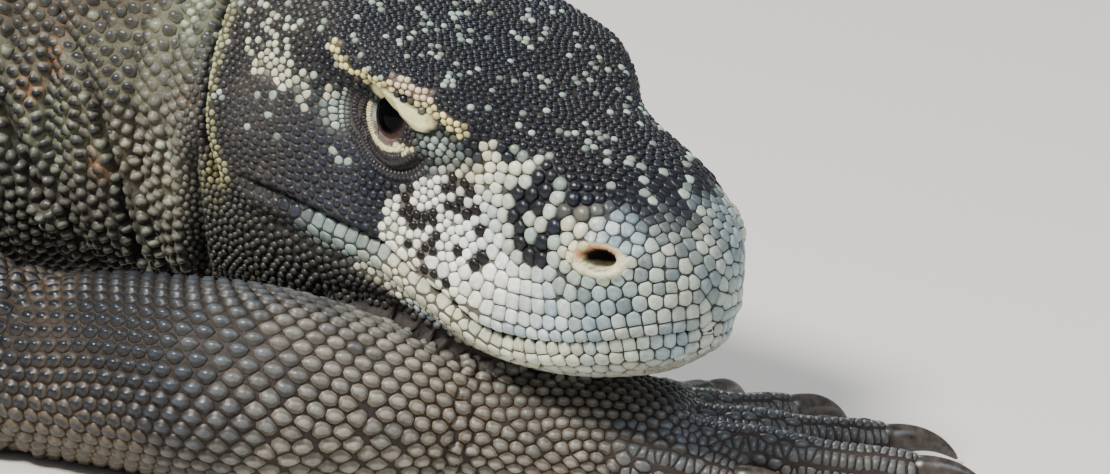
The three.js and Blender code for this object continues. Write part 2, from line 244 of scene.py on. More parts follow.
SPINE_SIDES = 84


def head_ring(x, crown, slope, ridge, cheek, lip, jaw, chin):
    left = [[0, crown], slope, ridge, cheek, lip, jaw, [jaw[0] * 0.52, chin + 1.2], [0, chin]]
    outline = np.array(left + [[-y, z] for y, z in left[-2:0:-1]], float)
    wrapped = np.vstack([outline[-2:], outline, outline[:3]])
    places = 2 + len(outline) * ((0.25 - np.arange(SPINE_SIDES) / SPINE_SIDES) % 1)
    around, _ = spline(wrapped, places)
    return np.column_stack([np.full(SPINE_SIDES, x), around])


HEAD_SHAPES = np.array([head_ring(*row) for row in HEAD_RINGS])


def body_loft():
    """The whole body, from the tail's tip to the snout."""
    nape = from_head(HEAD_SHAPES[0])
    centre = from_head([HEAD_RINGS[0][0], 0, -18.0])
    keys = np.vstack([SPINE, np.concatenate([centre, NAPE_SIZE])])
    last = len(SPINE)
    place = np.linspace(0, last, SPINE_RINGS + 1)[:-1]
    at, along = spline(keys, place)
    to_nape = step(last - 2, last, place)[:, None]
    along = unit(mix(unit(along[:, :3]), HEAD_AHEAD, to_nape))
    made = rings(at[:, :3], along, at[:, 3], at[:, 4], at[:, 5], SPINE_SIDES, (2.15, 2.7))
    made = mix(made, nape + (at[:, None, :3] - centre), to_nape[..., None])
    flat = HEAD_SHAPES.reshape(len(HEAD_SHAPES), -1)
    head, _ = spline(flat, np.linspace(0, len(flat) - 1, HEAD_LOFT_RINGS))
    return np.vstack([made, from_head(head.reshape(-1, SPINE_SIDES, 3))])


def limb_loft(keys):
    at, along = spline(keys, np.linspace(0, len(keys) - 1, LIMB_RINGS))
    return rings(at[:, :3], along[:, :3], at[:, 3], at[:, 4], at[:, 4], 48, (2.1, 2.1))


def digit_frames(limb):
    """Where each digit starts, which way it points and how far it reaches."""
    at, along = spline(limb["keys"], len(limb["keys"]) - 1)
    end = at[0, :3]
    ahead = unit(along[0, :3] * [1, 1, 0])
    aside = np.cross([0, 0, 1], ahead)
    for angle, length, across in limb["digits"]:
        way = rotation("z", math.radians(limb["fan"] + angle)) @ ahead
        base = end + aside * across - ahead * (DIGIT_INSET + abs(across) / 4)
        yield base, way, length + DIGIT_INSET


def digit_loft(base, way, reach):
    """A digit from the palm to its claw; each stop is the share of its reach, height, width and tallness."""
    stops = [[0, base[2], 1.1, 1.1], [0.35, 13, 1.12, 1.12], [0.7, 10.5, 0.96, 0.883], [1, 8, 0.84, 0.773]]
    at, _ = spline(stops, np.linspace(0, len(stops) - 1, DIGIT_RINGS))
    centres = base + way * (at[:, :1] * reach)
    centres[:, 2] = at[:, 1]
    knuckles = 1 + 0.05 * np.cos(at[:, 0] * 2 * np.pi * 2.2)
    half, tall = DIGIT_HALF * at[:, 2] * knuckles, DIGIT_HALF * at[:, 3] * knuckles
    return rings(centres, np.tile(way, (len(at), 1)), half, tall, tall, 24, (2.2, 2.4))


def claw_loft(base, way, reach):
    """A claw that arches over and down, with its root set in the digit's end."""
    root = base + way * (reach + GAP)
    root[2] = CLAW_HEIGHT
    t = np.linspace(0, 1, 15)[:, None]
    bend = np.radians(CLAW_BEND * t)
    along = way * np.cos(bend) - UP * np.sin(bend)
    at = root + way * (CLAW_LENGTH * (t - 0.16 * t * t)) + UP * (4.5 * t - 11 * t * t)
    at[0] -= way * CLAW_SUNK
    radius = (CLAW_ROOT * (1 - t) ** 0.75 + 0.5)[:, 0]
    return rings(at, along, radius * 0.78, radius, radius, 16, (2, 2))


def joined(lofts, turn):
    """The vertices and faces of several lofts, each with a cap at either end; turn is -1 or 1."""
    verts, faces, start = [], [], 0
    for loft in lofts:
        count, sides = loft.shape[:2]
        around = np.arange(sides)
        rows = start + np.arange(count - 1)[:, None] * sides
        a, b = (rows + around).ravel(), (rows + (around + 1) % sides).ravel()
        verts.append(loft.reshape(-1, 3))
        faces += list(np.column_stack([a, b, b + sides, a + sides])[:, ::turn])
        faces += [start + around, start + (count - 1) * sides + around[::turn]]
        start += count * sides
    return np.vstack(verts), faces


# ---- meshes ----
def new_piece(name, verts, faces, material=None, tint=None, rise=None, uv=None):
    """A mesh object from vertices in millimetres and faces of one or several sizes."""
    mesh = bpy.data.meshes.new(name)
    sizes = [len(f) for f in faces] if isinstance(faces, list) else np.full(len(faces), faces.shape[1])
    loops = np.concatenate([np.asarray(f) for f in faces]) if isinstance(faces, list) else faces.ravel()
    mesh.vertices.add(len(verts))
    mesh.vertices.foreach_set("co", (np.asarray(verts) * MM).ravel())
    mesh.loops.add(len(loops))
    mesh.loops.foreach_set("vertex_index", loops)
    mesh.polygons.add(len(sizes))
    mesh.polygons.foreach_set("loop_start", running(sizes[:-1]))
    mesh.update(calc_edges=True)
    mesh.shade_smooth()
    if tint is not None:
        colour = mesh.attributes.new("tint", "FLOAT_COLOR", "POINT")
        colour.data.foreach_set("color", np.column_stack([tint, np.ones(len(tint))]).ravel())
    if rise is not None:
        mesh.attributes.new("rise", "FLOAT", "POINT").data.foreach_set("value", rise)
    if uv is not None:
        mesh.uv_layers.new(name="OFBake").data.foreach_set("uv", uv[loops].ravel())
    if material is not None:
        mesh.materials.append(material)
    obj = bpy.data.objects.new(name, mesh)
    bpy.context.scene.collection.objects.link(obj)
    return obj


def arrays(mesh):
    """A mesh's vertices, in millimetres, and its triangles."""
    verts = np.empty(len(mesh.vertices) * 3)
    mesh.vertices.foreach_get("co", verts)
    mesh.calc_loop_triangles()
    tris = np.empty(len(mesh.loop_triangles) * 3, np.int32)
    mesh.loop_triangles.foreach_get("vertices", tris)
    return verts.reshape(-1, 3) / MM, tris.reshape(-1, 3)


def face_crosses(verts, tris):
    """Each triangle's normal, as long as twice its area."""
    a, b, c = verts[tris].transpose(1, 0, 2)
    return np.cross(b - a, c - a)


def vertex_normals(verts, tris):
    weights = np.repeat(face_crosses(verts, tris), 3, axis=0)
    return unit(np.column_stack([np.bincount(tris.ravel(), weights[:, i], len(verts)) for i in range(3)]))


def sides_of(tris):
    """The pairs of vertices at each triangle's three sides, the lower number first."""
    return np.sort(tris[:, [[0, 1], [1, 2], [2, 0]]], axis=2)


def edges_of(tris):
    return np.unique(sides_of(tris).reshape(-1, 2), axis=0)


def smooth(verts, edges, rounds, amount):
    """Eases vertices towards their neighbours, by an amount that may differ from one to the next."""
    ends = np.concatenate([edges[:, 0], edges[:, 1]])
    others = np.concatenate([edges[:, 1], edges[:, 0]])
    count = np.maximum(np.bincount(ends, minlength=len(verts)), 1)[:, None]
    amount = np.broadcast_to(amount, len(verts))[:, None]
    for _ in range(rounds):
        total = np.column_stack([np.bincount(ends, verts[others, i], len(verts)) for i in range(3)])
        verts = verts + (total / count - verts) * amount
    return verts


# ---- features of the head, in its own frame: x forward, w out to either side, z up ----
MOUTH_LINE = np.array([
    [-60, -31], [-46, -31.4], [-31, -31.6], [-15, -32.6], [4, -33.1], [12, -35.5], [20, -38.1], [28, -39.9],
    [36, -42.2], [43, -44.2], [50, -44.1], [58, -42.4], [66, -40.3], [75, -37.4], [85, -33.2], [92, -29.8],
    [101, -27.2],
])
BROW_LINE = np.array([[-26, 20], [-14, 16], [-3, 18.2], [6, 19], [12, 17.6], [18, 14.5], [24, 11]])
LID_BAR = [[-8.2, 11.2, 2.5], [-4.5, 11.8, 3.0], [-1.0, 11.9, 3.3], [3.0, 11.0, 3.6], [7.0, 9.8, 3.7],
           [11.0, 9.6, 3.5], [14.0, 10.6, 2.4]]
LID_KNOBS = [(1.4, -2.7), (3.2, -2.6), (5.0, -2.2), (6.7, -1.5), (8.3, -0.7)]
EAR_SLIT = np.array([
    [-36, -58], [-31, -58.5], [-27, -60.6], [-18, -63.3], [-9, -66.1], [-1, -69], [7, -71.5], [14, -73.7],
    [24, -78],
])
NECK_CREASES = [
    [[-146, 8], [-137, -9.6], [-130, -15], [-119, -20], [-113, -28], [-109, -33], [-104.5, -45], [-101, -57],
     [-99, -66], [-96, -80]],
    [[-66, -30], [-68.5, -37], [-67.7, -47], [-67.3, -57], [-67, -72]],
    [[-170, -4], [-160, -22], [-150, -40], [-141, -56], [-132, -74]],
]
NOSTRIL = np.array([77.6, 28.0, -9.2])
NOSTRIL_LONG = unit(np.array([0.866, -0.477, 0.146]))
NOSTRIL_TALL = unit(np.array([-0.13, 0.07, 0.99]))


def folded(points):
    """Head-frame coordinates with both sides of the head laid over each other."""
    h = to_head(points)
    return h[:, 0], np.abs(h[:, 1]), h[:, 2]


def eye_opening(x, w, z):
    """Distance outside the opening between the lids; the upper lid cuts its round top off aslant."""
    low = np.hypot(x + 3.5, z - 4.3) - 6.5
    high = z - np.interp(x, [-12, -8.6, -4, 0.4, 3.7, 7], [10.4, 9.9, 9.3, 8.0, 5.2, 1.5])
    return np.where(w > 14, np.maximum(low, high), 50)


def line_distance(x, z, line):
    """Distance from (x, z) to a polyline; a third number at its keys is its half width there."""
    gaps = []
    for (ax, az, *a_half), (bx, bz, *b_half) in zip(line[:-1], line[1:]):
        dx, dz = bx - ax, bz - az
        t = np.clip(((x - ax) * dx + (z - az) * dz) / (dx**2 + dz**2), 0, 1)
        gap = np.hypot(x - ax - t * dx, z - az - t * dz)
        gaps.append(gap - a_half[0] - t * (b_half[0] - a_half[0]) if a_half else gap)
    return np.min(gaps, axis=0)


def upper_lid(x, w, z):
    """1 on the thick smooth bar of the upper lid, 0 off it."""
    return step(0.5, -0.9, line_distance(x, z, LID_BAR)) * (w > 14)


def under_eye(x, w, z):
    """How far from the lower lid's rim (0) to the groove under its swollen band (1), and where that is."""
    groove = np.interp(x, [-16, -12, -5, 2, 9], [6.9, 5.4, 6.5, 8.2, 9.4])
    below = step(4, -1, z + 0.35 * (x + 3) - 3 * step(-6, -12, x))
    return eye_opening(x, w, z) / groove, below * (w > 14)


def mouth_height(x, z):
    """Height over the mouth line, and 1 along it, fading out past its corner."""
    return z - np.interp(x, *MOUTH_LINE.T), step(-52, -42, x)


def ear_place(x, z):
    return x - np.interp(z, EAR_SLIT[:, 0], EAR_SLIT[:, 1]), step(-40, -34, z) * step(22, 13, z)


def crease_place(x, w, z):
    """Distance to the nearest deep crease of the neck."""
    return np.min([line_distance(x, z, line) for line in NECK_CREASES], axis=0) + 50 * (w < 22)


def nostril_place(x, w, z):
    """Distance from the nostril's middle, 1 at its edge."""
    offset = np.column_stack([x, w, z]) - NOSTRIL
    elsewhere = np.linalg.norm(offset, axis=1) > 22
    return np.hypot(offset @ NOSTRIL_LONG / 5.1, offset @ NOSTRIL_TALL / 2.9) + 9 * elsewhere


def neck_crease(points):
    """Upright folds round the neck: 1 on a crest and -1 in a crease, and where they are."""
    h = to_head(points)
    sway = 5 * noise(points, 34, 3) + 2.5 * noise(points, 15, 4)
    run = h[:, 0] + 0.28 * h[:, 2] + sway
    where = step(-66, -84, h[:, 0]) * step(330, 400, points[:, 0])
    return np.sin(run * 2 * np.pi / 17) + 0.4 * np.sin(run * 2 * np.pi / 7.3 + 1.3), where


def relief(points):
    """How far the skin stands out from the smooth body, in millimetres, along its normal."""
    x, w, z = folded(points)
    out = np.zeros(len(points))
    side = step(12, 26, w)
    gap = eye_opening(x, w, z)
    out += 1.0 * upper_lid(x, w, z)
    out += 1.5 * bump(line_distance(x, z, BROW_LINE), 0, 3) * side
    out -= 0.8 * bump(line_distance(x, z, LID_BAR), 1.5, 0.8) * step(8, 11, z) * side
    under, below = under_eye(x, w, z)
    swollen = 1.4 * bump(under, 0.72, 0.22) - 1.4 * bump(under, 1.02, 0.11) - 0.5 * bump(under, 0.46, 0.06)
    out += side * below * swollen
    out += side * below * 0.5 * bump(under, 1.28, 0.12)
    behind = step(-9, -11, x) * step(12, 8, np.abs(z - 2)) * step(12, 8, gap) * step(1.5, 3, gap)
    out += side * behind * 0.45 * np.sin(gap * 2 * np.pi / 1.7)
    out -= side * 0.9 * bump(line_distance(x, z, [[6, 2.4], [24, 10.6]]), 0, 1.1)
    out -= side * 1.6 * np.exp(-(((x - 18) / 9) ** 2 + ((z + 1) / 6) ** 2))
    out += side * 1.5 * np.exp(-(((x + 36) / 14) ** 2 + ((z + 4) / 15) ** 2))
    rim = nostril_place(x, w, z)
    under_rim = bump(rim, 2.15, 0.16) * step(-8, -12, z)
    out += 1.3 * bump(rim, 1.5, 0.4) + 1.4 * bump(rim, 0, 3.2) - 0.7 * under_rim
    out -= 8.5 * np.clip(1 - rim**2, 0, 1) ** 0.5
    over, lips = mouth_height(x, z)
    lips = lips * (w < 62)
    front = step(48, 62, x)
    out += lips * (0.7 * bump(over, 3.2, 2.4) - mix(2.2, 1.3, front) * bump(over, 0, mix(0.8, 0.55, front)))
    out -= lips * (1 - front) * bump(over, -1.8, 1.4)
    out += lips * (0.9 * bump(over, -5.6, 2.6) - 0.8 * bump(over, -10.5, 1.6) * step(30, 10, x))
    slit, ear = ear_place(x, z)
    ear = ear * side
    out += ear * (1.8 * bump(slit, 4.2, 2.2) - 5.0 * bump(slit, 0, 1.9) + 0.9 * bump(slit, -5, 2.6))
    crest, where = neck_crease(points)
    crease = crease_place(x, w, z)
    out += where * ((1.3 * crest - 1.0) * step(2, 9, crease) + 1.6 * bump(crease, 6, 4))
    low = step(-5, -70, z)
    out -= step(-60, -66, x) * mix(1.6, 6.5, low) * bump(crease, 0, mix(2.0, 3.6, low))
    out += step(-30, -70, x) * (x > -110) * 0.9 * noise(points, 13, 9) * step(10, -20, z)
    return out


def chin_rest(points):
    """1 in the crevice where the head or throat lies against the right arm, fading out over a few mm."""
    about = (points[:, 0] > 470) & (points[:, 1] < -40)
    out = np.zeros(len(points))
    out[about] = step(8, 2, np.maximum(*[distances(tree, points[about]) for tree in (BODY_TREE, ARM_TREE)]))
    return out


def crease_limb(place, loft):
    """Folds across the limbs at the elbow or knee and the wrist or ankle."""
    folds = 1.3 * bump(place, 0.34, 0.05) * np.cos(place * 2 * np.pi / 0.035)
    folds += 1.0 * bump(place, 0.76, 0.035) * np.cos(place * 2 * np.pi / 0.02)
    return np.where((loft > 0) & (loft < FIRST_DIGIT), folds, 0)


def bare(points):
    """True where no scale grows: inside the lids, on the lid's bar, in the nostril, mouth and ear."""
    x, w, z = folded(points)
    over, lips = mouth_height(x, z)
    slit, ear = ear_place(x, z)
    lip_gap = mix(0.8, 0.3, step(48, 62, x))
    return ((eye_opening(x, w, z) < 0.7) | (upper_lid(x, w, z) > 0.1) | (nostril_place(x, w, z) < 1.6)
            | ((np.abs(over) < lip_gap) & (lips > 0.5)) | ((np.abs(slit) < 1.6) & (ear > 0.5) & (w > 20)))


# ---- the skin ----
LOFTS = [body_loft()] + [limb_loft(limb["keys"]) for limb in LIMBS]
CLAWS = {}
for limb in LIMBS:
    CLAWS[limb["digit"]] = [claw_loft(*digit) for digit in digit_frames(limb)]
    LOFTS += [digit_loft(*digit) for digit in digit_frames(limb)]
LOFTS = [above_floor(loft, 0) for loft in LOFTS]
VOXEL = 2.4
SMOOTHING = (0.5, -0.52)
COARSE_TRIANGLES = 125000
CHIN_DENT = 3.5
# Where the limbs' joins to the body and to the digits are eased: a key, how much, and from how far away.
JOINS = ((1, 1, 95, 55), (-1, 0.4, 40, 20))


def tree_of(points):
    tree = kdtree.KDTree(len(points))
    for i, p in enumerate(points.tolist()):
        tree.insert(p, i)
    tree.balance()
    return tree


def distances(tree, points):
    return np.array([tree.find(p)[2] for p in points.tolist()])


BODY_TREE = tree_of(LOFTS[0][THROAT_RING:].reshape(-1, 3))
ARM_TREE = tree_of(LOFTS[1].reshape(-1, 3))


def applied(obj):
    """The vertices and triangles of an object with its modifiers; the object is then deleted."""
    shaped = obj.evaluated_get(bpy.context.evaluated_depsgraph_get())
    mesh = bpy.data.meshes.new_from_object(shaped)
    made = arrays(mesh)
    plain_mesh = obj.data
    bpy.data.objects.remove(obj)
    for used in (plain_mesh, mesh):
        bpy.data.meshes.remove(used)
    return made


def coat_depth(points):
    """How deep the skin lies under the tops of its scales."""
    return laid_over(
        1.5,
        (0.6, step(-700, -1450, points[:, 0])),
        (1.0, step(-90, -60, to_head(points)[:, 0])),
        (0.9, step(640, 700, points[:, 0]) * step(50, 20, points[:, 2])))


def refine(verts, tris, mask):
    """Splits each triangle inside the mask in four, and its neighbours to fit."""
    pairs = sides_of(tris)
    marked = mask[pairs].all(axis=2)
    keys = pairs[..., 0].astype(np.int64) * len(verts) + pairs[..., 1]
    wanted, back = np.unique(keys[marked], return_inverse=True)
    middle = np.full(marked.shape, -1)
    middle[marked] = len(verts) + back
    new = (verts[wanted // len(verts)] + verts[wanted % len(verts)]) / 2
    count = marked.sum(axis=1)
    a, b, c = tris[count == 3].T
    ab, bc, ca = middle[count == 3].T
    parts = [tris[count == 0], np.column_stack([a, ab, ca]), np.column_stack([ab, b, bc]),
             np.column_stack([ca, bc, c]), np.column_stack([ab, bc, ca])]
    for side in range(3):
        one = (count == 1) & marked[:, side]
        a, b, c = tris[one][:, [side, (side + 1) % 3, (side + 2) % 3]].T
        m = middle[one, side]
        parts += [np.column_stack([a, m, c]), np.column_stack([m, b, c])]
    return np.vstack([verts, new]), np.vstack(parts)


def fine_places(points, level):
    """True round the eye, mouth, nostril and ear, where the skin is split finer, and closer in at level 1."""
    x, w, z = folded(points)
    over, lips = mouth_height(x, z)
    slit, ear = ear_place(x, z)
    eye_reach, mouth_reach, ear_reach, nostril_reach = [(22, 6, 7, 3.4), (13, 2.6, 3.4, 1.9)][level]
    return (((eye_opening(x, w, z) < eye_reach) & (x < 34)) | ((np.abs(over) < mouth_reach) & (lips > 0))
            | (nostril_place(x, w, z) < nostril_reach)
            | ((np.abs(slit - 1.5) < ear_reach) & (ear > 0) & (w > 20)))


def build_skin():
    """One skin round all the lofts: joined, eased, thinned out behind, refined and shaped on the head."""
    raw = new_piece("raw", *joined(LOFTS, 1))
    remesh = raw.modifiers.new("remesh", "REMESH")
    remesh.mode = "VOXEL"
    remesh.voxel_size = VOXEL * MM
    verts, tris = applied(raw)
    edges = edges_of(tris)
    thick = 1 - step(-1250, -1400, verts[:, 0])
    for amount in SMOOTHING * 4:
        verts = smooth(verts, edges, 1, amount * thick)
    junction = np.zeros(len(verts))
    for limb in LIMBS:
        for key, share, far, near in JOINS:
            away = np.linalg.norm(verts - limb["keys"][key][:3], axis=1)
            junction = np.maximum(junction, share * step(far, near, away))
    verts = smooth(verts, edges, 26, 0.5 * junction)
    coarse = new_piece("coarse", verts, tris)
    group = coarse.vertex_groups.new(name="plain")
    front = step(330, 380, verts[:, 0]) * step(150, 110, verts[:, 1])
    for index in np.flatnonzero(front < 0.5).tolist():
        group.add([index], 1.0, "REPLACE")
    thinner = coarse.modifiers.new("thinner", "DECIMATE")
    thinner.ratio = COARSE_TRIANGLES / len(tris)
    thinner.vertex_group = "plain"
    thinner.vertex_group_factor = 40
    verts, tris = applied(coarse)
    verts = verts - vertex_normals(verts, tris) * coat_depth(verts)[:, None]
    for level in range(2):
        verts, tris = refine(verts, tris, fine_places(verts, level))
        edges = edges_of(tris)
        area = fine_places(verts, level)
        for amount in SMOOTHING * 2:
            verts = smooth(verts, edges, 1, amount * area)
    loft, along, _ = on_lofts(verts)
    out = relief(verts) * (loft == 0) + crease_limb(along, loft) - CHIN_DENT * chin_rest(verts)
    verts = set_lids(verts + vertex_normals(verts, tris) * out[:, None])
    verts[:, 2] = np.maximum(verts[:, 2], coat_depth(verts) * 0.9)
    return verts, tris


def set_lids(verts):
    """Draws the skin round each eye down over the eyeball, with the lids' edges just off it."""
    h = to_head(verts)
    side = np.where(h[:, 1] < 0, -1.0, 1.0)
    centre = EYE_CENTRE * np.column_stack([np.ones(len(h)), side, np.ones(len(h))])
    offset = h - centre
    reach = np.linalg.norm(offset, axis=1)
    ball = centre + offset / reach[:, None] * (EYE_RADIUS + 0.5)
    gap = eye_opening(ball[:, 0], np.abs(ball[:, 1]), ball[:, 2])
    gap = np.where(reach < 26, gap, 50)
    edge = mix(EYE_RADIUS - 3.5, EYE_RADIUS + 0.7, step(-0.8, 0.3, gap))
    above = step(6, 8, ball[:, 2])
    radius = mix(edge, reach, step(0.2, mix(3.2, 2.2, above), gap))
    return from_head(centre + offset / reach[:, None] * np.where(gap < 4, radius, reach)[:, None])


# ---- places on the lofts, for rows of scales and for the unwrap ----
PLACE_AT, PLACE_AHEAD, PLACE_ASIDE = slice(5, 8), slice(8, 11), slice(11, 14)


def build_place_tree():
    """A tree of all the lofts' points, and a row for each: loft, ring, side, last ring, sides, vectors."""
    rows = []
    for number, loft in enumerate(LOFTS):
        count, sides = loft.shape[:2]
        ring, side = np.divmod(np.arange(count * sides), sides)
        ahead = np.gradient(loft, axis=0)
        aside = (np.roll(loft, -1, axis=1) - np.roll(loft, 1, axis=1)) / 2
        numbers = np.column_stack(np.broadcast_arrays(number, ring, side, count - 1.0, sides))
        rows.append(np.hstack([numbers] + [vectors.reshape(-1, 3) for vectors in (loft, ahead, aside)]))
    places = np.vstack(rows)
    return tree_of(places[:, PLACE_AT]), places


PLACE_TREE, PLACES = build_place_tree()


def nearest_places(points):
    return PLACES[[PLACE_TREE.find(p)[1] for p in points.tolist()]]


def on_lofts(points):
    """For each point the loft it lies on, how far along it (0..1) and how far around (0..1)."""
    row = nearest_places(points)
    offset = points - row[:, PLACE_AT]

    def past(way):
        return np.clip(np.sum(offset * way, axis=1) / np.maximum(np.sum(way**2, axis=1), 1e-6), -0.6, 0.6)

    number, ring, side, last_ring, sides = row[:, :5].T
    along = np.clip((ring + past(row[:, PLACE_AHEAD])) / last_ring, 0, 1)
    return number.astype(int), along, ((side + past(row[:, PLACE_ASIDE])) / sides) % 1


def ahead_of(points, normal):
    """The way along its loft at each place on the skin, square to the normal there."""
    return unit(square_to(nearest_places(points)[:, PLACE_AHEAD], normal))


# ---- colours ----
def srgb(*values):
    c = np.array(values, float) / 255
    return np.where(c < 0.04045, c / 12.92, ((c + 0.055) / 1.055) ** 2.4)


SLATE = srgb(20, 26, 36)
DARK_BEAD = srgb(34, 33, 35)
CHEEK = srgb(33, 38, 50)
CREAM = srgb(216, 212, 184)
BLUE_GREY = srgb(146, 166, 172)
WHITE = srgb(236, 238, 232)
PALE_GREEN = srgb(168, 180, 156)
YELLOW = srgb(218, 208, 150)
PINK = srgb(212, 178, 158)
RUST = srgb(150, 96, 62)
OLIVE = srgb(104, 103, 84)
EARTH = srgb(72, 55, 46)
TAN = srgb(134, 126, 112)
HIDE = srgb(72, 68, 62)
HIDE_DARK = srgb(46, 44, 43)
HIDE_CLAY = srgb(104, 90, 74)
LID = srgb(226, 222, 168)
# pale streaks on the snout's side, and the height of the pale part's upper edge from the nape to the snout
STREAK = [[31.4, 7.2], [33.3, 3.3], [35.3, -2.3], [37, -6.4], [37.8, -12.4], [41.2, -15.7], [42.3, -23],
          [46.8, -30.6]]
STREAK_TOP = [[33.3, 3.3], [36.5, 2.8], [41.2, 3.8], [45.5, 6.6], [46.4, 9.2]]
PALE_EDGE = ([-30, -6, 1.5, 2.5, 6.5, 10, 14, 19, 25, 30, 36, 45, 52, 66, 70, 75, 80, 86, 92, 96, 101],
             [-60, -44, -34, -18, -14, -10, -6.7, -2.6, 0.6, 2.5, 3, 4, 2, 0, 2, 4, 3, 1, -2, -5, -12])


def plain(colour, points):
    return np.tile(colour, (len(points), 1))


def layered(colour, *layers):
    """Paints each layer, a colour and how much of it, over those before it."""
    for new, amount in layers:
        colour = mix(colour, new, np.clip(amount, 0, 1)[:, None])
    return colour


def spots(x, z, *rows):
    """Soft round spots in the head's side view; a row is how much, then the middle and the half sizes."""
    return sum(much * np.exp(-(((x - cx) / rx) ** 2 + ((z - cz) / rz) ** 2)) for much, cx, cz, rx, rz in rows)


def snout_patch(x, z):
    """Distance from the middle of the dark patch behind the nostril, 1 at its edge."""
    return np.hypot((x - 52.5) / 15.5, (z + 8.5) / 11.5)


def pale_amount(points):
    """How pale the face is: dark above, on the temple and cheek, pale on the snout's side and lips."""
    x, w, z = folded(points)
    wander = 1.6 * noise(points, 9, 11) + 1.2 * noise(points, 4, 12)
    edge = np.interp(x, *PALE_EDGE)
    pale = step(2, -3, z - edge + wander)
    pale = pale * (1 - step(1.06, 0.94, snout_patch(x, z) + 0.12 * wander) * (w > 16))
    pale = np.maximum(pale, step(3.0, 1.8, line_distance(x, z, STREAK) + 0.4 * wander) * (w > 18))
    pale = np.maximum(pale, step(2.6, 1.5, line_distance(x, z, STREAK_TOP) + 0.4 * wander) * (w > 16))
    band = np.interp(x, [-40, -20, -10, 5, 13, 20, 40, 60], [-38, -41.5, -44.5, -45, -49.5, -51, -57, -63])
    under = step(0.5, -2.5, z - band + 0.5 * wander) * step(58, 30, x)
    return pale * (1 - np.clip(under, 0, 1))


def head_colour(points):
    x, w, z = folded(points)
    side = step(12, 26, w)
    fine, broad, patchy = noise(points, 5, 21), noise(points, 17, 22), noise(points, 3.6, 26)
    lip, lips = mouth_height(x, z)
    slit, ear = ear_place(x, z)
    rim = nostril_place(x, w, z)
    under, below = under_eye(x, w, z)
    lid = upper_lid(x, w, z)

    plates = layered(plain(CREAM * 0.92, points), (BLUE_GREY, 0.4 + 0.8 * broad + 0.5 * step(62, 84, x)))
    # Pale white scales on the snout's side, whitened further as a painted highlight where the light falls
    # there.
    white_and_highlight = spots(x, z, (1, 16, -20, 20, 14), (1, 44, -28, 20, 12))
    plates = layered(plates * mix(1.0, 0.8, step(58, 84, x))[:, None],
                     (PALE_GREEN, 0.35 * step(0, 0.6, noise(points, 11, 25)) * step(50, 70, x)),
                     (WHITE, white_and_highlight * 0.9 + 0.3 * fine))
    strip = lips * step(-30, -18, x) * step(5.6, 4.4, np.abs(lip + 5.2))
    patches = spots(x, z, (1, -38, 4.5, 10, 5), (1, -48, 7, 7, 4), (0.7, -51, 14, 5, 3))
    blue_spots = spots(x, z, (1.2, -19.7, 0.7, 4, 4.5)) + spots(x, z, (0.7 + fine, 17.5, 2.8, 6, 3.4))
    brow = bump(line_distance(x, z, BROW_LINE - [0, 1.0]), 0, 2.6) * side
    blush = side * spots(x, z, (1, 1.5, 18.8, 6, 2.6), (1, 11.5, 18, 4.5, 2.2))
    ear_band = step(2.6, 1.5, np.abs(slit - 4.0) + 0.5 * patchy)
    burnt = step(-1.5, 3, z + 9.6 - 0.35 * (x - 77.6)) * bump(rim, 1.2, 0.45) * step(86, 80, x)
    eye_rim = layered(plain(srgb(92, 78, 76), points),
                      (mix(YELLOW, CREAM, 0.2), step(0.25, 0.29, under)),
                      (mix(PALE_GREEN, BLUE_GREY, 0.5), spots(x, z, (1.3, -9, 3.6, 1.8, 2.4))))
    knobs = step(1.5, 1.0, line_distance(x, z, LID_KNOBS))
    return layered(
        plain(SLATE, points),
        (DARK_BEAD, 0.35 + 0.5 * broad),
        (CHEEK, side * step(4, -8, z) * step(6, -4, x) * 0.8),
        (srgb(56, 53, 50), side * step(-24, -44, x) * (0.75 + 0.4 * fine)),
        # the throat and the chin
        (srgb(62, 61, 56), 0.85 * step(-36, -44, z)),
        (srgb(104, 100, 84), 0.7 * step(-46, -56, z) * step(10, 34, x)),
        (plates, pale_amount(points)),
        # the lower lip
        (mix(BLUE_GREY, PALE_GREEN, 0.4) * 0.8, strip * step(12, 2, x) * (0.8 + 0.3 * fine)),
        (mix(PALE_GREEN, CREAM, 0.6), strip * step(2, 12, x) * step(86, 70, x) * 0.85),
        (mix(TAN, OLIVE, 0.4), 0.6 * lips * step(-7.5, -11, lip) * step(20, 36, x)),
        # the temple, the brow and the ear
        (mix(CREAM, PALE_GREEN, 0.3), 0.25 * side * step(0.55, 0.95, patches + 0.45 * fine)),
        (mix(PALE_GREEN, BLUE_GREY, 0.5), side * blue_spots),
        (YELLOW, 0.95 * step(0.5, 0.85, brow + 0.5 * patchy)),
        (mix(PINK, CREAM, 0.4), 0.95 * step(0.45, 0.85, blush + 0.55 * patchy)),
        (srgb(162, 160, 118), side * ear * ear_band * (0.8 + 0.3 * fine)),
        (srgb(150, 144, 104), 0.9 * side * spots(x, z, (1, -60, -36, 4, 6)) * (0.9 + fine)),
        # painted shade: the ear's slit painted near-black
        (srgb(20, 18, 17), side * ear * step(1.8, 0.8, np.abs(slit))),
        # the nostril
        (mix(CREAM, YELLOW, 0.4), step(2.1, 1.8, rim) * 0.9),
        (srgb(176, 112, 66), burnt * 0.9),
        # painted shade: the nostril's opening painted near-black
        (srgb(12, 9, 8), step(1.02, 0.9, rim)),
        # the lids
        (srgb(46, 43, 47), side * below * step(1.35, 1.05, under)),
        (eye_rim, side * below * step(0.44, 0.40, under + 0.04 * patchy) * step(7.5, 5.0, z)),
        (mix(YELLOW, CREAM, 0.5), side * knobs * 0.9),
        (srgb(40, 36, 38), side * (1 - below) * step(7, 3, eye_opening(x, w, z)) * step(8, 3, z) * 0.8),
        (LID, lid),
        (srgb(176, 140, 112), 0.45 * lid * step(0.2, 0.6, fine)))


def neck_share(points):
    """0 on the trunk, 1 on the neck, changing over the shoulders along a wandering line."""
    return step(235, 425, points[:, 0] + 34 * noise(points, 60, 36) + 14 * noise(points, 17, 37))


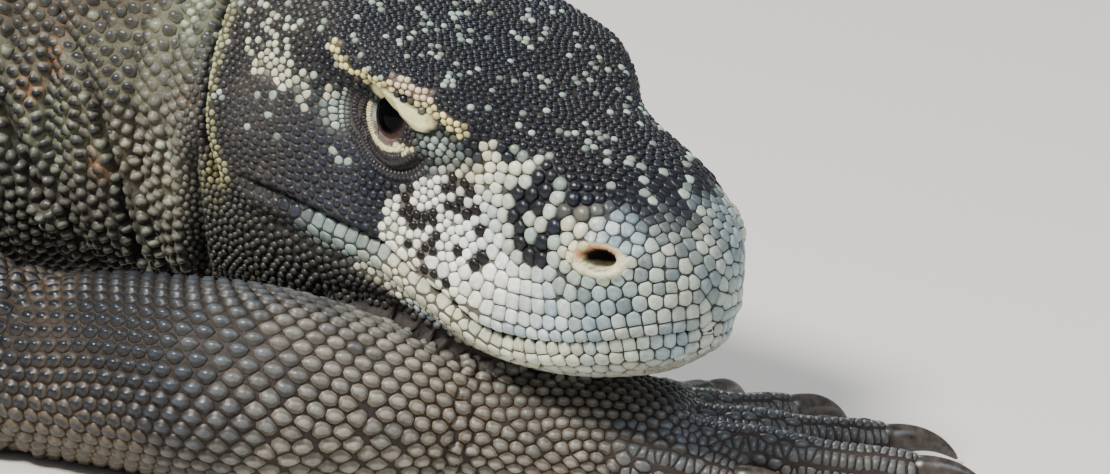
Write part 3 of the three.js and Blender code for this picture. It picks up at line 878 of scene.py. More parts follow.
def body_colour(points, loft):
    """Colours of the neck, trunk, tail and limbs."""
    x, _, z = points.T
    broad, patch, fine = noise(points, 90, 31), noise(points, 26, 32), noise(points, 8, 33)
    head_x, _, head_z = to_head(points).T
    fold = step(-106, -98, head_x + 0.35 * (head_z + 40)) * step(-62, -68, head_x)
    green = fold * step(-44, -30, head_z) * step(24, 8, head_z) * step(-92, -84, head_x)
    on_neck = layered(
        plain(srgb(40, 42, 45), points),
        (srgb(76, 76, 72), 0.35 + 0.6 * patch),
        (srgb(128, 128, 118), 0.6 * step(-100, -90, head_x) * step(10, -30, head_z)),
        (mix(CREAM, TAN, 0.5) * 0.8, fold * step(-26, -42, head_z) * (0.55 + 0.6 * fine)),
        (PALE_GREEN, green * step(0.25, 0.55, fine + 0.4 * patch)),
        (srgb(94, 92, 84), 0.8 * step(-50, -66, head_z)))
    # Painted light on the arm's middle, stopping short of the hand, which is left dark as the head's painted
    # shadow.
    painted_light = step(560, 625, x + 0.5 * (30 - z)) * step(708, 672, x) * np.where(loft == 1, 1, 0.4)
    on_arm = layered(
        plain(srgb(74, 80, 86), points),
        (srgb(40, 46, 54), 0.5 + 0.7 * patch),
        (srgb(22, 27, 34), 0.9 * step(620, 530, x + 0.8 * (z - 30))),
        (srgb(138, 136, 126), painted_light * (0.75 + 0.5 * fine)),
        (TAN, 0.3 * step(26, 8, z) + 0.2 * step(0.1, 0.6, broad + 0.5 * fine)))
    clay = 0.45 * step(0.0, 0.8, broad) + 0.35 * step(0.2, 0.8, patch) + 0.3 * step(60, 10, z)
    return layered(
        plain(HIDE, points),
        (HIDE_DARK, 0.5 + 0.6 * patch),
        (HIDE_CLAY, clay),
        (OLIVE, 0.4 * step(0.1, 0.7, fine)),
        (on_neck, neck_share(points) * (loft == 0)),
        (on_arm, step(345, 420, x) * np.isin(loft, RIGHT_ARM)))


def marking(points, loft):
    """The colour of the animal at each point, for the skin and the scales alike."""
    to_face = step(-80, -62, to_head(points)[:, 0] + 3 * noise(points, 6, 35)) * (loft == 0)
    return mix(body_colour(points, loft), head_colour(points), to_face[:, None])


def side_cheek(x, w, z):
    """1 on the flat of the cheek, whose scales lie close with paler seams."""
    return step(-4, -12, x) * step(-60, -52, x) * step(9, 2, z) * step(-38, -33, z) * (w > 16)


def groove_colour(points, loft, colour):
    """The skin between the scales: earthy on the limbs, dark on the head, olive on the neck, bare on lids."""
    x, w, z = folded(points)
    on_body = loft == 0
    head = step(-80, -62, x) * on_body
    bright = step(0.08, 0.4, colour.mean(axis=1))
    soft = layered(
        plain(mix(OLIVE, PALE_GREEN, 0.1) * 0.8, points),
        (mix(OLIVE, EARTH, 0.6) * 0.7, 0.5 + 0.9 * noise(points, 22, 41)),
        (RUST, 0.5 * step(0.4, 0.8, noise(points, 11, 42))),
        (srgb(70, 68, 60), step(-50, -66, z)))
    # Painted shade: the neck's deep creases are painted near-black, more so low on the neck.
    crease_shade = step(4.0, 1.0, crease_place(x, w, z)) * step(-5, -60, z)
    over, lips = mouth_height(x, z)
    # Painted shade: the seam between the lips is painted near-black.
    mouth = step(1.3, 0.7, np.abs(over) * mix(1, 1.5, step(48, 62, x))) * lips * head * (w < 62)
    under, below = under_eye(x, w, z)
    shown = np.clip(upper_lid(x, w, z) * 3, 0, 1) + step(2.0, 1.6, nostril_place(x, w, z))
    shown = shown + step(1.3, 0.9, eye_opening(x, w, z)) + step(0.46, 0.42, under) * below
    return layered(
        mix(plain(mix(EARTH, HIDE_DARK, 0.5) * 0.5, points), srgb(40, 36, 34), head[:, None]),
        (srgb(66, 62, 57), side_cheek(x, w, z) * head),
        (colour * [0.17, 0.155, 0.145], 0.92 * bright * head),
        (srgb(44, 44, 48), 0.7 * head * step(60, 72, x)),
        (soft, neck_share(points) * on_body * (1 - head)),
        # painted shade in the neck's deep creases
        (srgb(22, 19, 17), crease_shade * step(-60, -66, x) * on_body),
        # painted shade in the seam between the lips
        (srgb(22, 21, 23), mouth),
        (colour, shown * head))


# ---- materials ----
def nodes_of(name):
    material = bpy.data.materials.new(name)
    material.use_nodes = True
    tree = material.node_tree
    return material, tree, tree.nodes["Principled BSDF"]


def set_up(tree, node, values):
    """Gives a node its settings and inputs. Sockets are linked, and nodes by their first output."""
    for key, value in values.items():
        if isinstance(value, bpy.types.Node):
            value = value.outputs[0]
        if isinstance(key, str) and key not in node.inputs:
            setattr(node, key, value)
        elif isinstance(value, bpy.types.NodeSocket):
            tree.links.new(value, node.inputs[key])
        else:
            node.inputs[key].default_value = value


def add_node(tree, kind, values=None):
    node = tree.nodes.new(f"ShaderNode{kind}")
    set_up(tree, node, values or {})
    return node


def add_ramp(tree, factor, *stops):
    """A colour ramp through (place, colour) stops."""
    ramp = add_node(tree, "ValToRGB", {"Fac": factor})
    elements = ramp.color_ramp.elements
    while len(elements) < len(stops):
        elements.new(0.5)
    for element, (place, colour) in zip(elements, stops):
        element.position = place
        element.color = (*colour, 1)
    return ramp


def hide_material(name, roughness, speckle, bump_size, bump_depth, rim_dark):
    """Hide coloured by its tint, mottled by noise, rougher and darker towards each scale's rim: dark net
    lines and painted shade.
    """
    material, tree, shader = nodes_of(name)
    tint = add_node(tree, "Attribute", {"attribute_name": "tint"})
    rise = add_node(tree, "Attribute", {"attribute_name": "rise"}).outputs["Fac"]
    where = add_node(tree, "TexCoord").outputs["Object"]
    mottle = add_node(tree, "TexNoise", {"Vector": where, "Scale": speckle, "Detail": 4.0, "Roughness": 0.65})
    shade = add_node(tree, "MapRange", {"Value": mottle, "From Min": 0.3, "From Max": 0.7,
                                        "To Min": 0.72, "To Max": 1.25})
    # painted shade: darker towards each scale's rim, over the hide's own dark net lines
    edge = add_node(tree, "MapRange", {"interpolation_type": "SMOOTHSTEP", "Value": rise, "From Max": 0.62,
                                       "To Min": rim_dark, "To Max": 1.0})
    both = add_node(tree, "Math", {"operation": "MULTIPLY", 0: shade, 1: edge})
    colour = add_node(tree, "VectorMath", {"operation": "SCALE", 0: tint, "Scale": both})
    rough = add_node(tree, "MapRange", {"Value": rise, "To Min": roughness + 0.25, "To Max": roughness})
    grain = add_node(tree, "TexNoise", {"Vector": where, "Scale": bump_size, "Detail": 3.0})
    dents = add_node(tree, "Bump", {"Strength": bump_depth, "Distance": 0.0004, "Height": grain})
    set_up(tree, shader, {"Base Color": colour, "Roughness": rough, "Specular IOR Level": 0.34,
                          "Normal": dents})
    return material


SKIN_FINISH = hide_material("skin_finish", 0.62, 420, 1500, 0.8, 1.0)
SCALE_FINISH = hide_material("scale_finish", 0.27, 380, 2200, 0.2, 0.42)


# ---- the skin, in the scene ----
skin_verts, skin_tris = build_skin()
SKIN_LOFT = on_lofts(skin_verts)[0]
SKIN_MIDDLES = to_head(skin_verts[skin_tris].mean(axis=1))
skin_tint = groove_colour(skin_verts, SKIN_LOFT, marking(skin_verts, SKIN_LOFT))
skin = new_piece("skin", skin_verts, skin_tris, SKIN_FINISH, skin_tint, np.ones(len(skin_verts)))
FLESH = ["head", "lower_jaw", "neck", "trunk_front", "trunk_rear"] + [f"tail_{i}" for i in range(1, 6)]
FLESH += [f"{part}_{side}" for side in ("left", "right")
          for part in ("upper_arm", "forearm", "hand", "thigh", "shin", "foot")]
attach(skin, "root")
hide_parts(*FLESH)


# ---- eyes ----
def eye_material():
    """A wet dark eye: a black pupil in a deep brown iris, with a pinkish-brown rim round it."""
    material, tree, shader = nodes_of("eye_finish")
    where = add_node(tree, "TexCoord").outputs["Object"]
    apart = add_node(tree, "SeparateXYZ", {0: where}).outputs
    turn = add_node(tree, "Math", {"operation": "ARCTAN2", 0: apart["Y"], 1: apart["X"]})
    flat = add_node(tree, "VectorMath", {"operation": "MULTIPLY", 0: where, 1: (1, 1, 0)})
    radius = add_node(tree, "VectorMath", {"operation": "LENGTH", 0: flat}).outputs["Value"]
    far = add_node(tree, "Math", {"operation": "MULTIPLY", 0: radius, 1: 90})
    spokes = add_node(tree, "CombineXYZ", {"X": turn, "Y": far})
    fibres = add_node(tree, "TexNoise", {"Vector": spokes, "Scale": 7.0, "Detail": 3.0})
    wobble = add_node(tree, "Math", {"operation": "MULTIPLY_ADD", 0: fibres, 1: 0.0006, 2: radius})
    span = add_node(tree, "MapRange", {"Value": wobble, "From Max": 0.0115})
    iris = add_ramp(tree, span, (0, srgb(2, 2, 4)), (0.49, srgb(4, 4, 7)), (0.55, srgb(20, 16, 15)),
                    (0.58, srgb(36, 27, 25)), (0.61, srgb(62, 48, 46)), (0.70, srgb(86, 66, 62)),
                    (1, srgb(96, 74, 68)))
    set_up(tree, shader, {"Base Color": iris, "Roughness": 0.25, "Specular IOR Level": 0.0,
                          "Coat Weight": 0.25, "Coat IOR": 1.3, "Coat Roughness": 0.03})
    return material


EYE_FINISH = eye_material()


def add_eye(side, node):
    """An eyeball with a bulging cornea, turned so that its own z looks out between the lids."""
    look = unit(EYE_LOOK) * [1, side, 1]
    count, sides = 40, 64
    angle = np.linspace(0.02, np.pi - 0.02, count)
    radius = (EYE_RADIUS + 0.35 * step(0.62, 0.2, angle)) * MM
    turn = 2 * np.pi * np.arange(sides) / sides
    ball = np.stack([np.outer(radius * np.sin(angle), np.cos(turn)),
                     np.outer(radius * np.sin(angle), np.sin(turn)),
                     np.repeat((radius * np.cos(angle))[:, None], sides, axis=1)], axis=2)
    verts, faces = joined([ball], -1)
    eye = new_piece(f"eyeball_{node.split('_')[1]}", verts / MM, faces, EYE_FINISH)
    centre = from_head(EYE_CENTRE * [1, side, 1])
    eye.location = Vector(centre * MM)
    eye.rotation_mode = "QUATERNION"
    eye.rotation_quaternion = Vector(HEAD_TURN @ look).to_track_quat("Z", "Y")
    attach(eye, "root")
    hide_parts(node)


add_eye(-1, "eye_right")
add_eye(1, "eye_left")


# ---- claws ----
def claw_material():
    """Dark horn with fine lengthwise streaks."""
    material, tree, shader = nodes_of("claw_finish")
    where = add_node(tree, "TexCoord").outputs["Object"]
    streaks = add_node(tree, "TexNoise", {"Vector": where, "Scale": 350.0, "Detail": 5.0, "Roughness": 0.6})
    dents = add_node(tree, "Bump", {"Strength": 0.3, "Distance": 0.0003, "Height": streaks})
    horn = add_ramp(tree, streaks, (0.35, srgb(30, 27, 26)), (0.72, srgb(84, 74, 66)))
    set_up(tree, shader, {"Base Color": horn, "Roughness": 0.34, "Normal": dents})
    return material


CLAW_FINISH = claw_material()
for digit, claws in CLAWS.items():
    verts, faces = joined(claws, -1)
    claws_piece = new_piece(f"{digit}_claws", above_floor(verts, 0.1), faces, CLAW_FINISH)
    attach(claws_piece, "root")
    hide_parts(*[f"{digit}_claw_{i}" for i in range(1, 6)])


# ---- scales ----
LOFT_MIDDLES = [loft.mean(axis=1) for loft in LOFTS]
LOFT_LENGTHS = [lengths_along(middle) for middle in LOFT_MIDDLES]
TOP_OF_RING = 0.25
DIGIT_PITCH = 2.8
LIMB_STRETCH = 0.577
RELAX_ROUNDS = 9
AROUND = list(itertools.product((-1, 0, 1), repeat=3))


def rows_on(number, start, end, pitch, stretch=1.0, bands=0):
    """Rows of places on a loft between two rings, about pitch(middle) apart: staggered, or in bands."""
    loft, length = LOFTS[number], LOFT_LENGTHS[number]
    found, s, row = [], length[start], 0
    while s < length[end]:
        ring = np.interp(s, length, np.arange(len(length)))
        low = min(int(ring), len(loft) - 2)
        points = mix(loft[low], loft[low + 1], ring - low)
        run = running(np.linalg.norm(np.roll(loft[low], -1, axis=0) - loft[low], axis=1))
        gap = pitch(points.mean(axis=0))
        count = bands or max(int(round(run[-1] / gap * stretch)), 6)
        shift = 0.18 * rng.random() if bands else 0.5 * (row % 2)
        places = (TOP_OF_RING + (np.arange(count) - count // 2 + shift) / count) % 1 * run[-1]
        k = np.interp(places, run, np.arange(len(run)))
        left = k.astype(int) % len(points)
        found.append(mix(points[left], points[(left + 1) % len(points)], (k - k.astype(int))[:, None]))
        s += 0.866 * gap * stretch
        row += 1
    return np.vstack(found)


SKIN_NORMALS = vertex_normals(skin_verts, skin_tris)
SKIN_TREE = bvhtree.BVHTree.FromPolygons(skin_verts.tolist(), skin_tris.tolist())


def on_skin(points):
    """The nearest places on the skin, their smooth normals and how far off they are."""
    hits = [SKIN_TREE.find_nearest(p) for p in points.tolist()]
    at = np.array([tuple(h[0]) for h in hits])
    corners = skin_tris[[h[2] for h in hits]]
    far = np.array([h[3] for h in hits])
    a, b, c = skin_verts[corners].transpose(1, 0, 2)
    whole = np.cross(b - a, c - a)
    size = np.maximum((whole ** 2).sum(axis=1), 1e-12)
    u = (np.cross(c - b, at - b) * whole).sum(axis=1) / size
    v = (np.cross(a - c, at - c) * whole).sum(axis=1) / size
    weights = np.column_stack([u, v, 1 - u - v])
    normal = unit((SKIN_NORMALS[corners] * weights[..., None]).sum(axis=1))
    return at, normal, far


def neighbours(points, count):
    tree = tree_of(points)
    return np.array([[n[1] for n in tree.find_n(p, count + 1)][1:] for p in points.tolist()])


def thinned(points, pitch, share):
    """Keeps, in a seeded order, the points that have room round them."""
    cells = np.floor(points / max(pitch.max() * share, 1.0)).astype(int).tolist()
    places, rooms = points.tolist(), ((pitch * share) ** 2).tolist()
    filled, kept = {}, []
    for i in rng.permutation(len(points)).tolist():
        a, b, c = cells[i]
        px, py, pz = places[i]
        near = (place for da, db, dc in AROUND for place in filled.get((a + da, b + db, c + dc), ()))
        if all((x - px) ** 2 + (y - py) ** 2 + (z - pz) ** 2 >= rooms[i] for x, y, z in near):
            filled.setdefault((a, b, c), []).append(places[i])
            kept.append(i)
    return np.sort(kept)


def relaxed(points, pitch_of, held, squeeze=None):
    """Pushes places apart until each has its own room, keeping them on the skin and the first ones held."""
    at, normal, _ = on_skin(points)
    for turn in range(RELAX_ROUNDS):
        if turn % 3 == 0:
            near = neighbours(at, 7)
            pitch = pitch_of(at)
        offset = at[:, None] - at[near]
        if squeeze is not None:
            offset = offset - HEAD_AHEAD * ((offset @ HEAD_AHEAD) * (1 - squeeze(at))[:, None])[..., None]
        apart = np.linalg.norm(offset, axis=2, keepdims=True)
        room = ((pitch[:, None] + pitch[near]) / 2)[..., None] * 1.12
        push = (offset / np.maximum(apart, 1e-6) * np.clip(room - apart, 0, None)).sum(axis=1) * 0.22
        push = square_to(push, normal)
        push[:held] = 0
        at, normal, _ = on_skin(at + push)
    return at, normal, pitch_of(at)


CHEEK_SQUEEZE = 0.68


def cheek_squeeze(points):
    x, w, z = folded(points)
    return np.where((x > -46) & (x < -8) & (w > 16) & (z < 12), CHEEK_SQUEEZE, 1.0)


def squeezed(points):
    """Head-frame places with the cheek drawn together lengthways, so that its scales come out long."""
    h = to_head(points)
    cheek = (np.abs(h[:, 1]) > 16) & (h[:, 2] < 12)
    line = [-80, -46, -8, 110]
    slid = np.interp(h[:, 0], line, [-80, -46, -46 + 38 * CHEEK_SQUEEZE, 72 + 38 * CHEEK_SQUEEZE])
    return np.column_stack([np.where(cheek, slid, h[:, 0]), h[:, 1], h[:, 2]])


def face_pitch(points):
    """How far apart the scales of the head sit."""
    x, w, z = folded(points)
    side = step(14, 26, w)
    gap = eye_opening(x, w, z)
    top = mix(2.35, 3.4, step(44, 74, x))
    top = np.where((x > -24) & (x < 22), mix(2.3, 2.0, step(16, 26, w)), top)
    flank = np.interp(x, [-75, -60, -45, -25, -12, 2, 20, 34, 40, 60, 80, 100],
                      [2.5, 2.2, 2.2, 2.4, 2.6, 2.7, 2.8, 3.2, 4.1, 4.6, 4.6, 4.3])
    flank = mix(flank, 4.9, step(-20, -26, z) * step(38, 48, x))
    ridge = np.interp(x, [-75, -30, 5, 30, 60, 90], [16, 16, 18, 11, 7, -3])
    slit, ear = ear_place(x, z)
    return laid_over(
        flank,
        (top, step(-4, 3, z - ridge)),
        (2.3, step(-42, -50, z) * step(40, 20, x)),
        (2.9, step(-48, -56, z) * step(20, 40, x)),
        (2.3, side * step(13, 9, gap)),
        (1.6, side * step(6, 2.5, gap)),
        (2.1, side * bump(line_distance(x, z, BROW_LINE), 0, 3)),
        (1.9, side * ear * step(4.5, 2.5, np.abs(slit - 4))),
        (3.3, step(2.9, 1.8, nostril_place(x, w, z))))


def body_pitch(points):
    """How far apart the scales sit on the neck, trunk and tail."""
    x, z = points[..., 0], points[..., 2]
    pitch = np.interp(x, [-1492, -1300, -900, TAIL_X, 250, 345, 420, 480, 640],
                      [3.6, 5, 6.4, 7, 6.8, 5.6, 4.7, 4.4, 4.2])
    return mix(pitch, 3.4, step(400, 450, x) * step(62, 40, z))


def limb_pitch(points):
    x, y = points[..., 0], points[..., 1]
    paw = step(600, 690, x)
    return mix(np.where(x > 350, 5.3, 6.2), 4.0, np.where(y < 0, paw, step(440, 500, x)))


def coat_pitch(points, loft):
    """How far apart the scales sit behind the head."""
    return np.where(loft == 0, body_pitch(points), np.where(loft < FIRST_DIGIT, limb_pitch(points), 3.6))


def surface_places(mask, count):
    """Random places on the skin's triangles that pass the mask, spread evenly by area."""
    tris = skin_tris[mask]
    area = np.linalg.norm(face_crosses(skin_verts, tris), axis=1)
    a, b, c = skin_verts[tris[rng.choice(len(tris), count, p=area / area.sum())]].transpose(1, 0, 2)
    u, v = rng.random((2, count, 1))
    over = u + v > 1
    u[over], v[over] = 1 - u[over], 1 - v[over]
    return a + (b - a) * u + (c - a) * v


LID_PITCH = 1.3
# Where the lids' rows lie: 0 is the lower lid's rim and 1 the groove under its swollen band.
LID_ROWS = (0.36, 0.60, 0.86, 1.16, 1.36)


def lip_rows():
    """Rows of plates along both lips, from the corner of the mouth to the snout's tip."""
    half = [np.interp(-38, ring[:42, 2][::-1], np.abs(ring[:42, 1])[::-1]) for ring in HEAD_SHAPES]
    found, sizes = [], []
    rows = ((2.4, 4.3, 8, 102, 4.8), (6.7, 4.6, 20, 102, 5.0), (11.4, 4.8, 34, 100, 5.2),
            (-2.2, 4.2, -34, 102, 5.0), (-6.7, 4.8, -30, 102, 5.2))
    for number, (lift, gap, start, end, size) in enumerate(rows):
        x = np.arange(start, end, 0.25)
        z = np.interp(x, MOUTH_LINE[:, 0], MOUTH_LINE[:, 1]) + lift
        line = np.column_stack([x, -np.interp(x, HEAD_SHAPES[:, 0, 0], half), z])
        run = lengths_along(line)
        at = np.arange(number % 2 * gap / 2, run[-1], gap)
        row = np.column_stack([np.interp(at, run, line[:, i]) for i in range(3)])
        found += [row, row * [1, -1, 1]]
        sizes += [size] * (2 * len(row))
    return from_head(np.vstack(found)), np.array(sizes)


def lid_rows():
    """Fine scales in upright columns round the lower lid: its beaded rim, then the swollen band under it."""
    found = []
    out = np.arange(5, 20, 0.1)
    for angle in np.radians(np.arange(150, 392, 4.9)):
        x, z = -2.6 + np.cos(angle) * out, 3.5 + np.sin(angle) * out
        under, below = under_eye(x, EYE_CENTRE[1] + EYE_RADIUS, z)
        hits = [nearest(under, place) for place in LID_ROWS]
        found += [(x[hit], z[hit]) for hit in hits if below[hit] > 0.5]
    places = []
    for (x, z), side in itertools.product(found + LID_KNOBS, (-1, 1)):
        start = from_head([x, 52.0 * side, z])
        places.append(SKIN_TREE.ray_cast(start.tolist(), (HEAD_TURN @ [0, -side, 0]).tolist())[0])
    return np.array([tuple(place) for place in places])


def head_seeds():
    """Places for the head's scales: set rows along the lips and lids, and the rest spread between."""
    x, y, _ = SKIN_MIDDLES.T
    on_head = (x > NAPE_X) & (np.abs(y) < 70) & (SKIN_LOFT[skin_tris[:, 0]] == 0)
    lips, sizes = lip_rows()
    lips = on_skin(lips)[0]
    kept = thinned(lips, np.full(len(lips), 3.2), 1.0)
    lips, set_pitch = lips[kept], sizes[kept]
    lids = on_skin(lid_rows())[0]
    set_down = np.vstack([lids, lips])
    loose = surface_places(on_head, 110000)
    room = np.maximum(0.8 * face_pitch(loose), 2.9)
    clear = (distances(tree_of(lips), loose) > room) & (distances(tree_of(lids), loose) > 1.2)
    under, below = under_eye(*folded(loose))
    loose = loose[clear & ~((under < 1.42) & (below > 0.5))]
    loose = loose[thinned(squeezed(loose), face_pitch(loose), 0.8)]
    at, normal, pitch = relaxed(np.vstack([set_down, loose]), face_pitch, len(set_down), cheek_squeeze)
    pitch[:len(lids)] = LID_PITCH
    pitch[len(lids):len(set_down)] = set_pitch
    keep = ~bare(at) & (chin_rest(at) < 0.9)
    return at[keep], normal[keep], pitch[keep]


def coat_seeds():
    """Places for the scales behind the head: rows along every loft, then loose ones where rows leave room."""
    digit_rows = [rows_on(number, 3, DIGIT_RINGS - 1, lambda middle: DIGIT_PITCH, bands=7)
                  for number in range(FIRST_DIGIT, len(LOFTS))]
    rows = digit_rows + [rows_on(number, 3, LIMB_RINGS - 1, limb_pitch, LIMB_STRETCH)
                         for number in range(1, FIRST_DIGIT)]
    rows += [rows_on(0, 2, nearest(to_head(LOFT_MIDDLES[0])[:, 0], NAPE_X), body_pitch)]
    at, _, far = on_skin(np.vstack(rows))
    of_digit = np.arange(len(at)) < sum(map(len, digit_rows))
    loft = on_lofts(at)[0]
    clear = (far < 4.5) & (of_digit == (loft >= FIRST_DIGIT))
    at, of_digit, loft = at[clear], of_digit[clear], loft[clear]
    behind = (SKIN_MIDDLES[:, 0] < NAPE_X) | (SKIN_LOFT[skin_tris[:, 0]] > 0)
    loose = surface_places(behind, 160000)
    kept = thinned(at, coat_pitch(at, loft) * np.where(loft < FIRST_DIGIT, 1, 0.62), 0.72)
    at, held = at[kept], int(of_digit[kept].sum())
    pitch = coat_pitch(loose, on_lofts(loose)[0])
    free = distances(tree_of(at), loose) > 0.86 * pitch
    loose, pitch = loose[free], pitch[free]
    at = np.vstack([at, loose[thinned(loose, pitch, 0.9)]])
    loft = on_lofts(at)[0]
    pitch = coat_pitch(at, loft)
    at, normal, pitch = relaxed(at, lambda places: pitch, held)
    keep = ((to_head(at)[:, 0] < NAPE_X) & ~bare(at) | (loft > 0)) & (chin_rest(at) < 0.9)
    return at[keep], normal[keep], pitch[keep]


def cell_rims(at, normal, pitch, others, other_pitch, sides, fill):
    """How far each scale reaches in each direction before it meets its neighbours' share."""
    offset = others - at[:, None]
    first = unit(square_to(offset[:, 0], normal))
    second = np.cross(normal, first)
    flat = np.stack([np.einsum("nmk,nk->nm", offset, first), np.einsum("nmk,nk->nm", offset, second)], axis=2)
    apart = np.linalg.norm(offset, axis=2)
    limit = apart * pitch[:, None] / (pitch[:, None] + other_pitch)
    toward = np.arctan2(flat[..., 1], flat[..., 0])
    angle = (np.arange(sides) + 0.5) * 2 * np.pi / sides
    facing = np.cos(angle[None, :, None] - toward[:, None, :])
    reach = np.where(facing > 0.15, limit[:, None, :] / np.maximum(facing, 0.15), 1e9).min(axis=2)
    way = first[:, None] * np.cos(angle)[:, None] + second[:, None] * np.sin(angle)[:, None]
    most = np.broadcast_to(fill * pitch, len(at))
    return np.minimum(reach, most[:, None]), way


def scale_mesh(scales, look, long):
    """Joined scales: each a low dome on its own cell, from a rim sunk in the skin to its middle."""
    sides, groove, levels = look
    at, normal, reach = scales["at"], scales["normal"][:, None], scales["reach"]
    height, way = scales["height"][:, None, None], scales["way"]
    reach = mix(reach, reach.mean(axis=1, keepdims=True) * 0.97, scales["roundness"][:, None])
    reach = np.maximum(reach - groove / 2, 0.25 * scales["pitch"][:, None])
    aligned = 2 * (way * scales["ahead"][:, None]).sum(axis=2) ** 2 - 1
    reach = reach * (1 + long[0] * aligned)
    rim = at[:, None] + way * reach[..., None]
    ground = on_skin(rim.reshape(-1, 3))[0].reshape(rim.shape)
    sag = ((ground - at[:, None]) * normal).sum(axis=2, keepdims=True)
    span = ground - at[:, None] - sag * normal
    parts, rises, tints = [], [], []
    for share, lift, own, shade in levels:
        inner = share * (1 + long[1] * aligned[..., None] * (share < 0.8))
        ring = at[:, None] + span * inner + normal * (sag * inner * inner)
        parts.append(ring + normal * (lift * height if lift > 0 else lift))
        rises.append(np.full(ring.shape[:2], shade))
        tints.append(np.tile(mix(scales["skirt"], scales["tint"], own)[:, None], (1, sides, 1)))
    parts.append(at[:, None] + normal * height)
    rises.append(np.ones((len(at), 1)))
    tints.append(scales["tint"][:, None])
    verts, rise, tint = (np.concatenate(columns, axis=1) for columns in (parts, rises, tints))
    k, after = np.arange(sides), (np.arange(sides) + 1) % sides
    faces = []
    for level in range(len(levels) - 1):
        a, b = level * sides + k, level * sides + after
        faces += [np.column_stack([a, b, b + sides]), np.column_stack([a, b + sides, a + sides])]
    last = (len(levels) - 1) * sides
    count = verts.shape[1]
    faces.append(np.column_stack([last + k, last + after, np.full(sides, count - 1)]))
    faces = (np.vstack(faces)[None] + (np.arange(len(at)) * count)[:, None, None]).reshape(-1, 3)
    circle = np.column_stack([np.cos(2 * np.pi * k / sides), np.sin(2 * np.pi * k / sides)])
    spread = np.concatenate([share * circle for share, *_ in levels] + [np.zeros((1, 2))])
    uv = scales["uv"][:, None] + PATCH_RADIUS * spread
    verts[..., 2] = np.maximum(verts[..., 2], 0.05)
    return verts.reshape(-1, 3), faces, tint.reshape(-1, 3), rise.ravel(), uv.reshape(-1, 2)


def row_counts():
    """Rows of scales passed by each ring along each loft, for an even unwrap."""
    counts = []
    for number, (middle, length) in enumerate(zip(LOFT_MIDDLES, LOFT_LENGTHS)):
        pitch = body_pitch(middle) if number == 0 else limb_pitch(middle)
        if number == 0:
            pitch = np.where(to_head(middle)[:, 0] > -80, 3.3, pitch)
        rows = running(np.diff(length) / pitch[:-1])
        counts.append(rows / rows[-1])
    return counts


ROW_COUNTS = row_counts()
TAIL_END = float(ROW_COUNTS[0][nearest(LOFT_MIDDLES[0][:, 0], TAIL_X)])
LIMB_TILES = [(0.63, 0.0), (0.82, 0.0), (0.63, 0.38), (0.82, 0.38)]


def unwrap(loft, along, around):
    """Places on a flat unwrap of the skin: trunk, neck and head; tail; limbs; then digits in tiles."""
    uv = np.zeros((len(loft), 2))
    for number in np.unique(loft):
        here = loft == number
        counts = ROW_COUNTS[number]
        v = np.interp(along[here] * (len(counts) - 1), np.arange(len(counts)), counts)
        u = around[here]
        if number == 0:
            tail = v < TAIL_END
            x = np.where(tail, 0.495 + 0.115 * u, 0.005 + 0.475 * u)
            y = np.where(tail, v / TAIL_END, (v - TAIL_END) / (1 - TAIL_END)) * 0.98 + 0.01
        elif number < FIRST_DIGIT:
            left, low = LIMB_TILES[number - 1]
            x, y = left + 0.165 * u, low + 0.005 + 0.35 * v
        else:
            row, column = divmod(number - FIRST_DIGIT, 10)
            x, y = 0.63 + 0.036 * column + 0.031 * u, 0.762 + 0.116 * row + 0.106 * v
        uv[here] = np.column_stack([x, y])
    return uv


def head_scale_colour(colour, at, pitch, lot):
    """Single dark beads and plates on the snout, pale scales on the temple, and specks on the dark top."""
    x, w, z = folded(at)
    pale = step(0.10, 0.28, colour.mean(axis=1))
    off_nostril = nostril_place(x, w, z) > 2.3
    away = (gap_from_eye(at) > 10) & (x > -4) & (x < 74) & (w > 14) & off_nostril
    chance = spots(x, z, (0.4, 27, -12, 13, 8), (0.2, 14, -26, 11, 8), (0.2, 33, -28, 8, 6))
    chance = 0.07 + chance + spots(x, z, (0.3, 64, -2, 7, 5)) + spots(x, z, (0.2, 92, -8, 10, 9))
    chance = chance * step(2.0, 3.2, line_distance(x, z, STREAK)) * step(-38, -34, z) * step(4.6, 3.8, pitch)
    muzzle = step(62, 72, x) * step(-30, -20, z) * (pale > 0.5) * off_nostril
    in_patch = snout_patch(x, z)
    temple = spots(x, z, (1, -38, 4.5, 9, 5), (1, -48, 8, 8, 5), (0.7, -51, 15, 6, 4))
    specks = 0.05 + 0.14 * step(0.1, 0.6, noise(at, 11, 51)) + 0.06 * step(40, 60, x) + 0.12 * (in_patch < 1)
    specks = specks * mix(1.0, 0.35, step(2, -6, z) * step(0, -10, x))
    dark = (gap_from_eye(at) > 9) & (z > -14) & (pale < 0.5)
    return layered(
        colour,
        (srgb(24, 20, 21), (lot < chance) * (pale > 0.3) * away),
        (mix(BLUE_GREY, SLATE, 0.62), muzzle * (rng.random(len(at)) < 0.32) * 0.75),
        (mix(BLUE_GREY, CREAM, 0.5), ((in_patch < 1.1) & (w > 16)) * (rng.random(len(at)) < 0.36) * 0.9),
        (mix(CREAM, PALE_GREEN, 0.35),
         (rng.random(len(at)) < 0.8 * temple) * step(14, 20, w) * (0.55 + 0.4 * lot)),
        (mix(CREAM, srgb(134, 172, 170), 0.6),
         (lot > 1 - 1.25 * specks) * dark * (0.3 + 0.65 * rng.random(len(at)))))


def scale_tints(at, loft, pitch, kind):
    """Each scale takes the marking's colour where it stands, with its own small change."""
    colour = marking(at, loft)
    lot = rng.random(len(at))
    if kind == "head":
        colour = head_scale_colour(colour, at, pitch, lot)
    if kind == "neck":
        colour = layered(colour, (mix(OLIVE, PALE_GREEN, 0.5), (lot > 0.95) * 0.6))
    colour = colour * (1 + 0.16 * (rng.random((len(at), 1)) - 0.5) * 2)
    tone = rng.random((len(at), 1)) - 0.5
    return np.clip(colour * (1 + tone * [0.07, 0.0, -0.10]), 0, 1)


def gap_from_eye(points):
    return eye_opening(*folded(points))
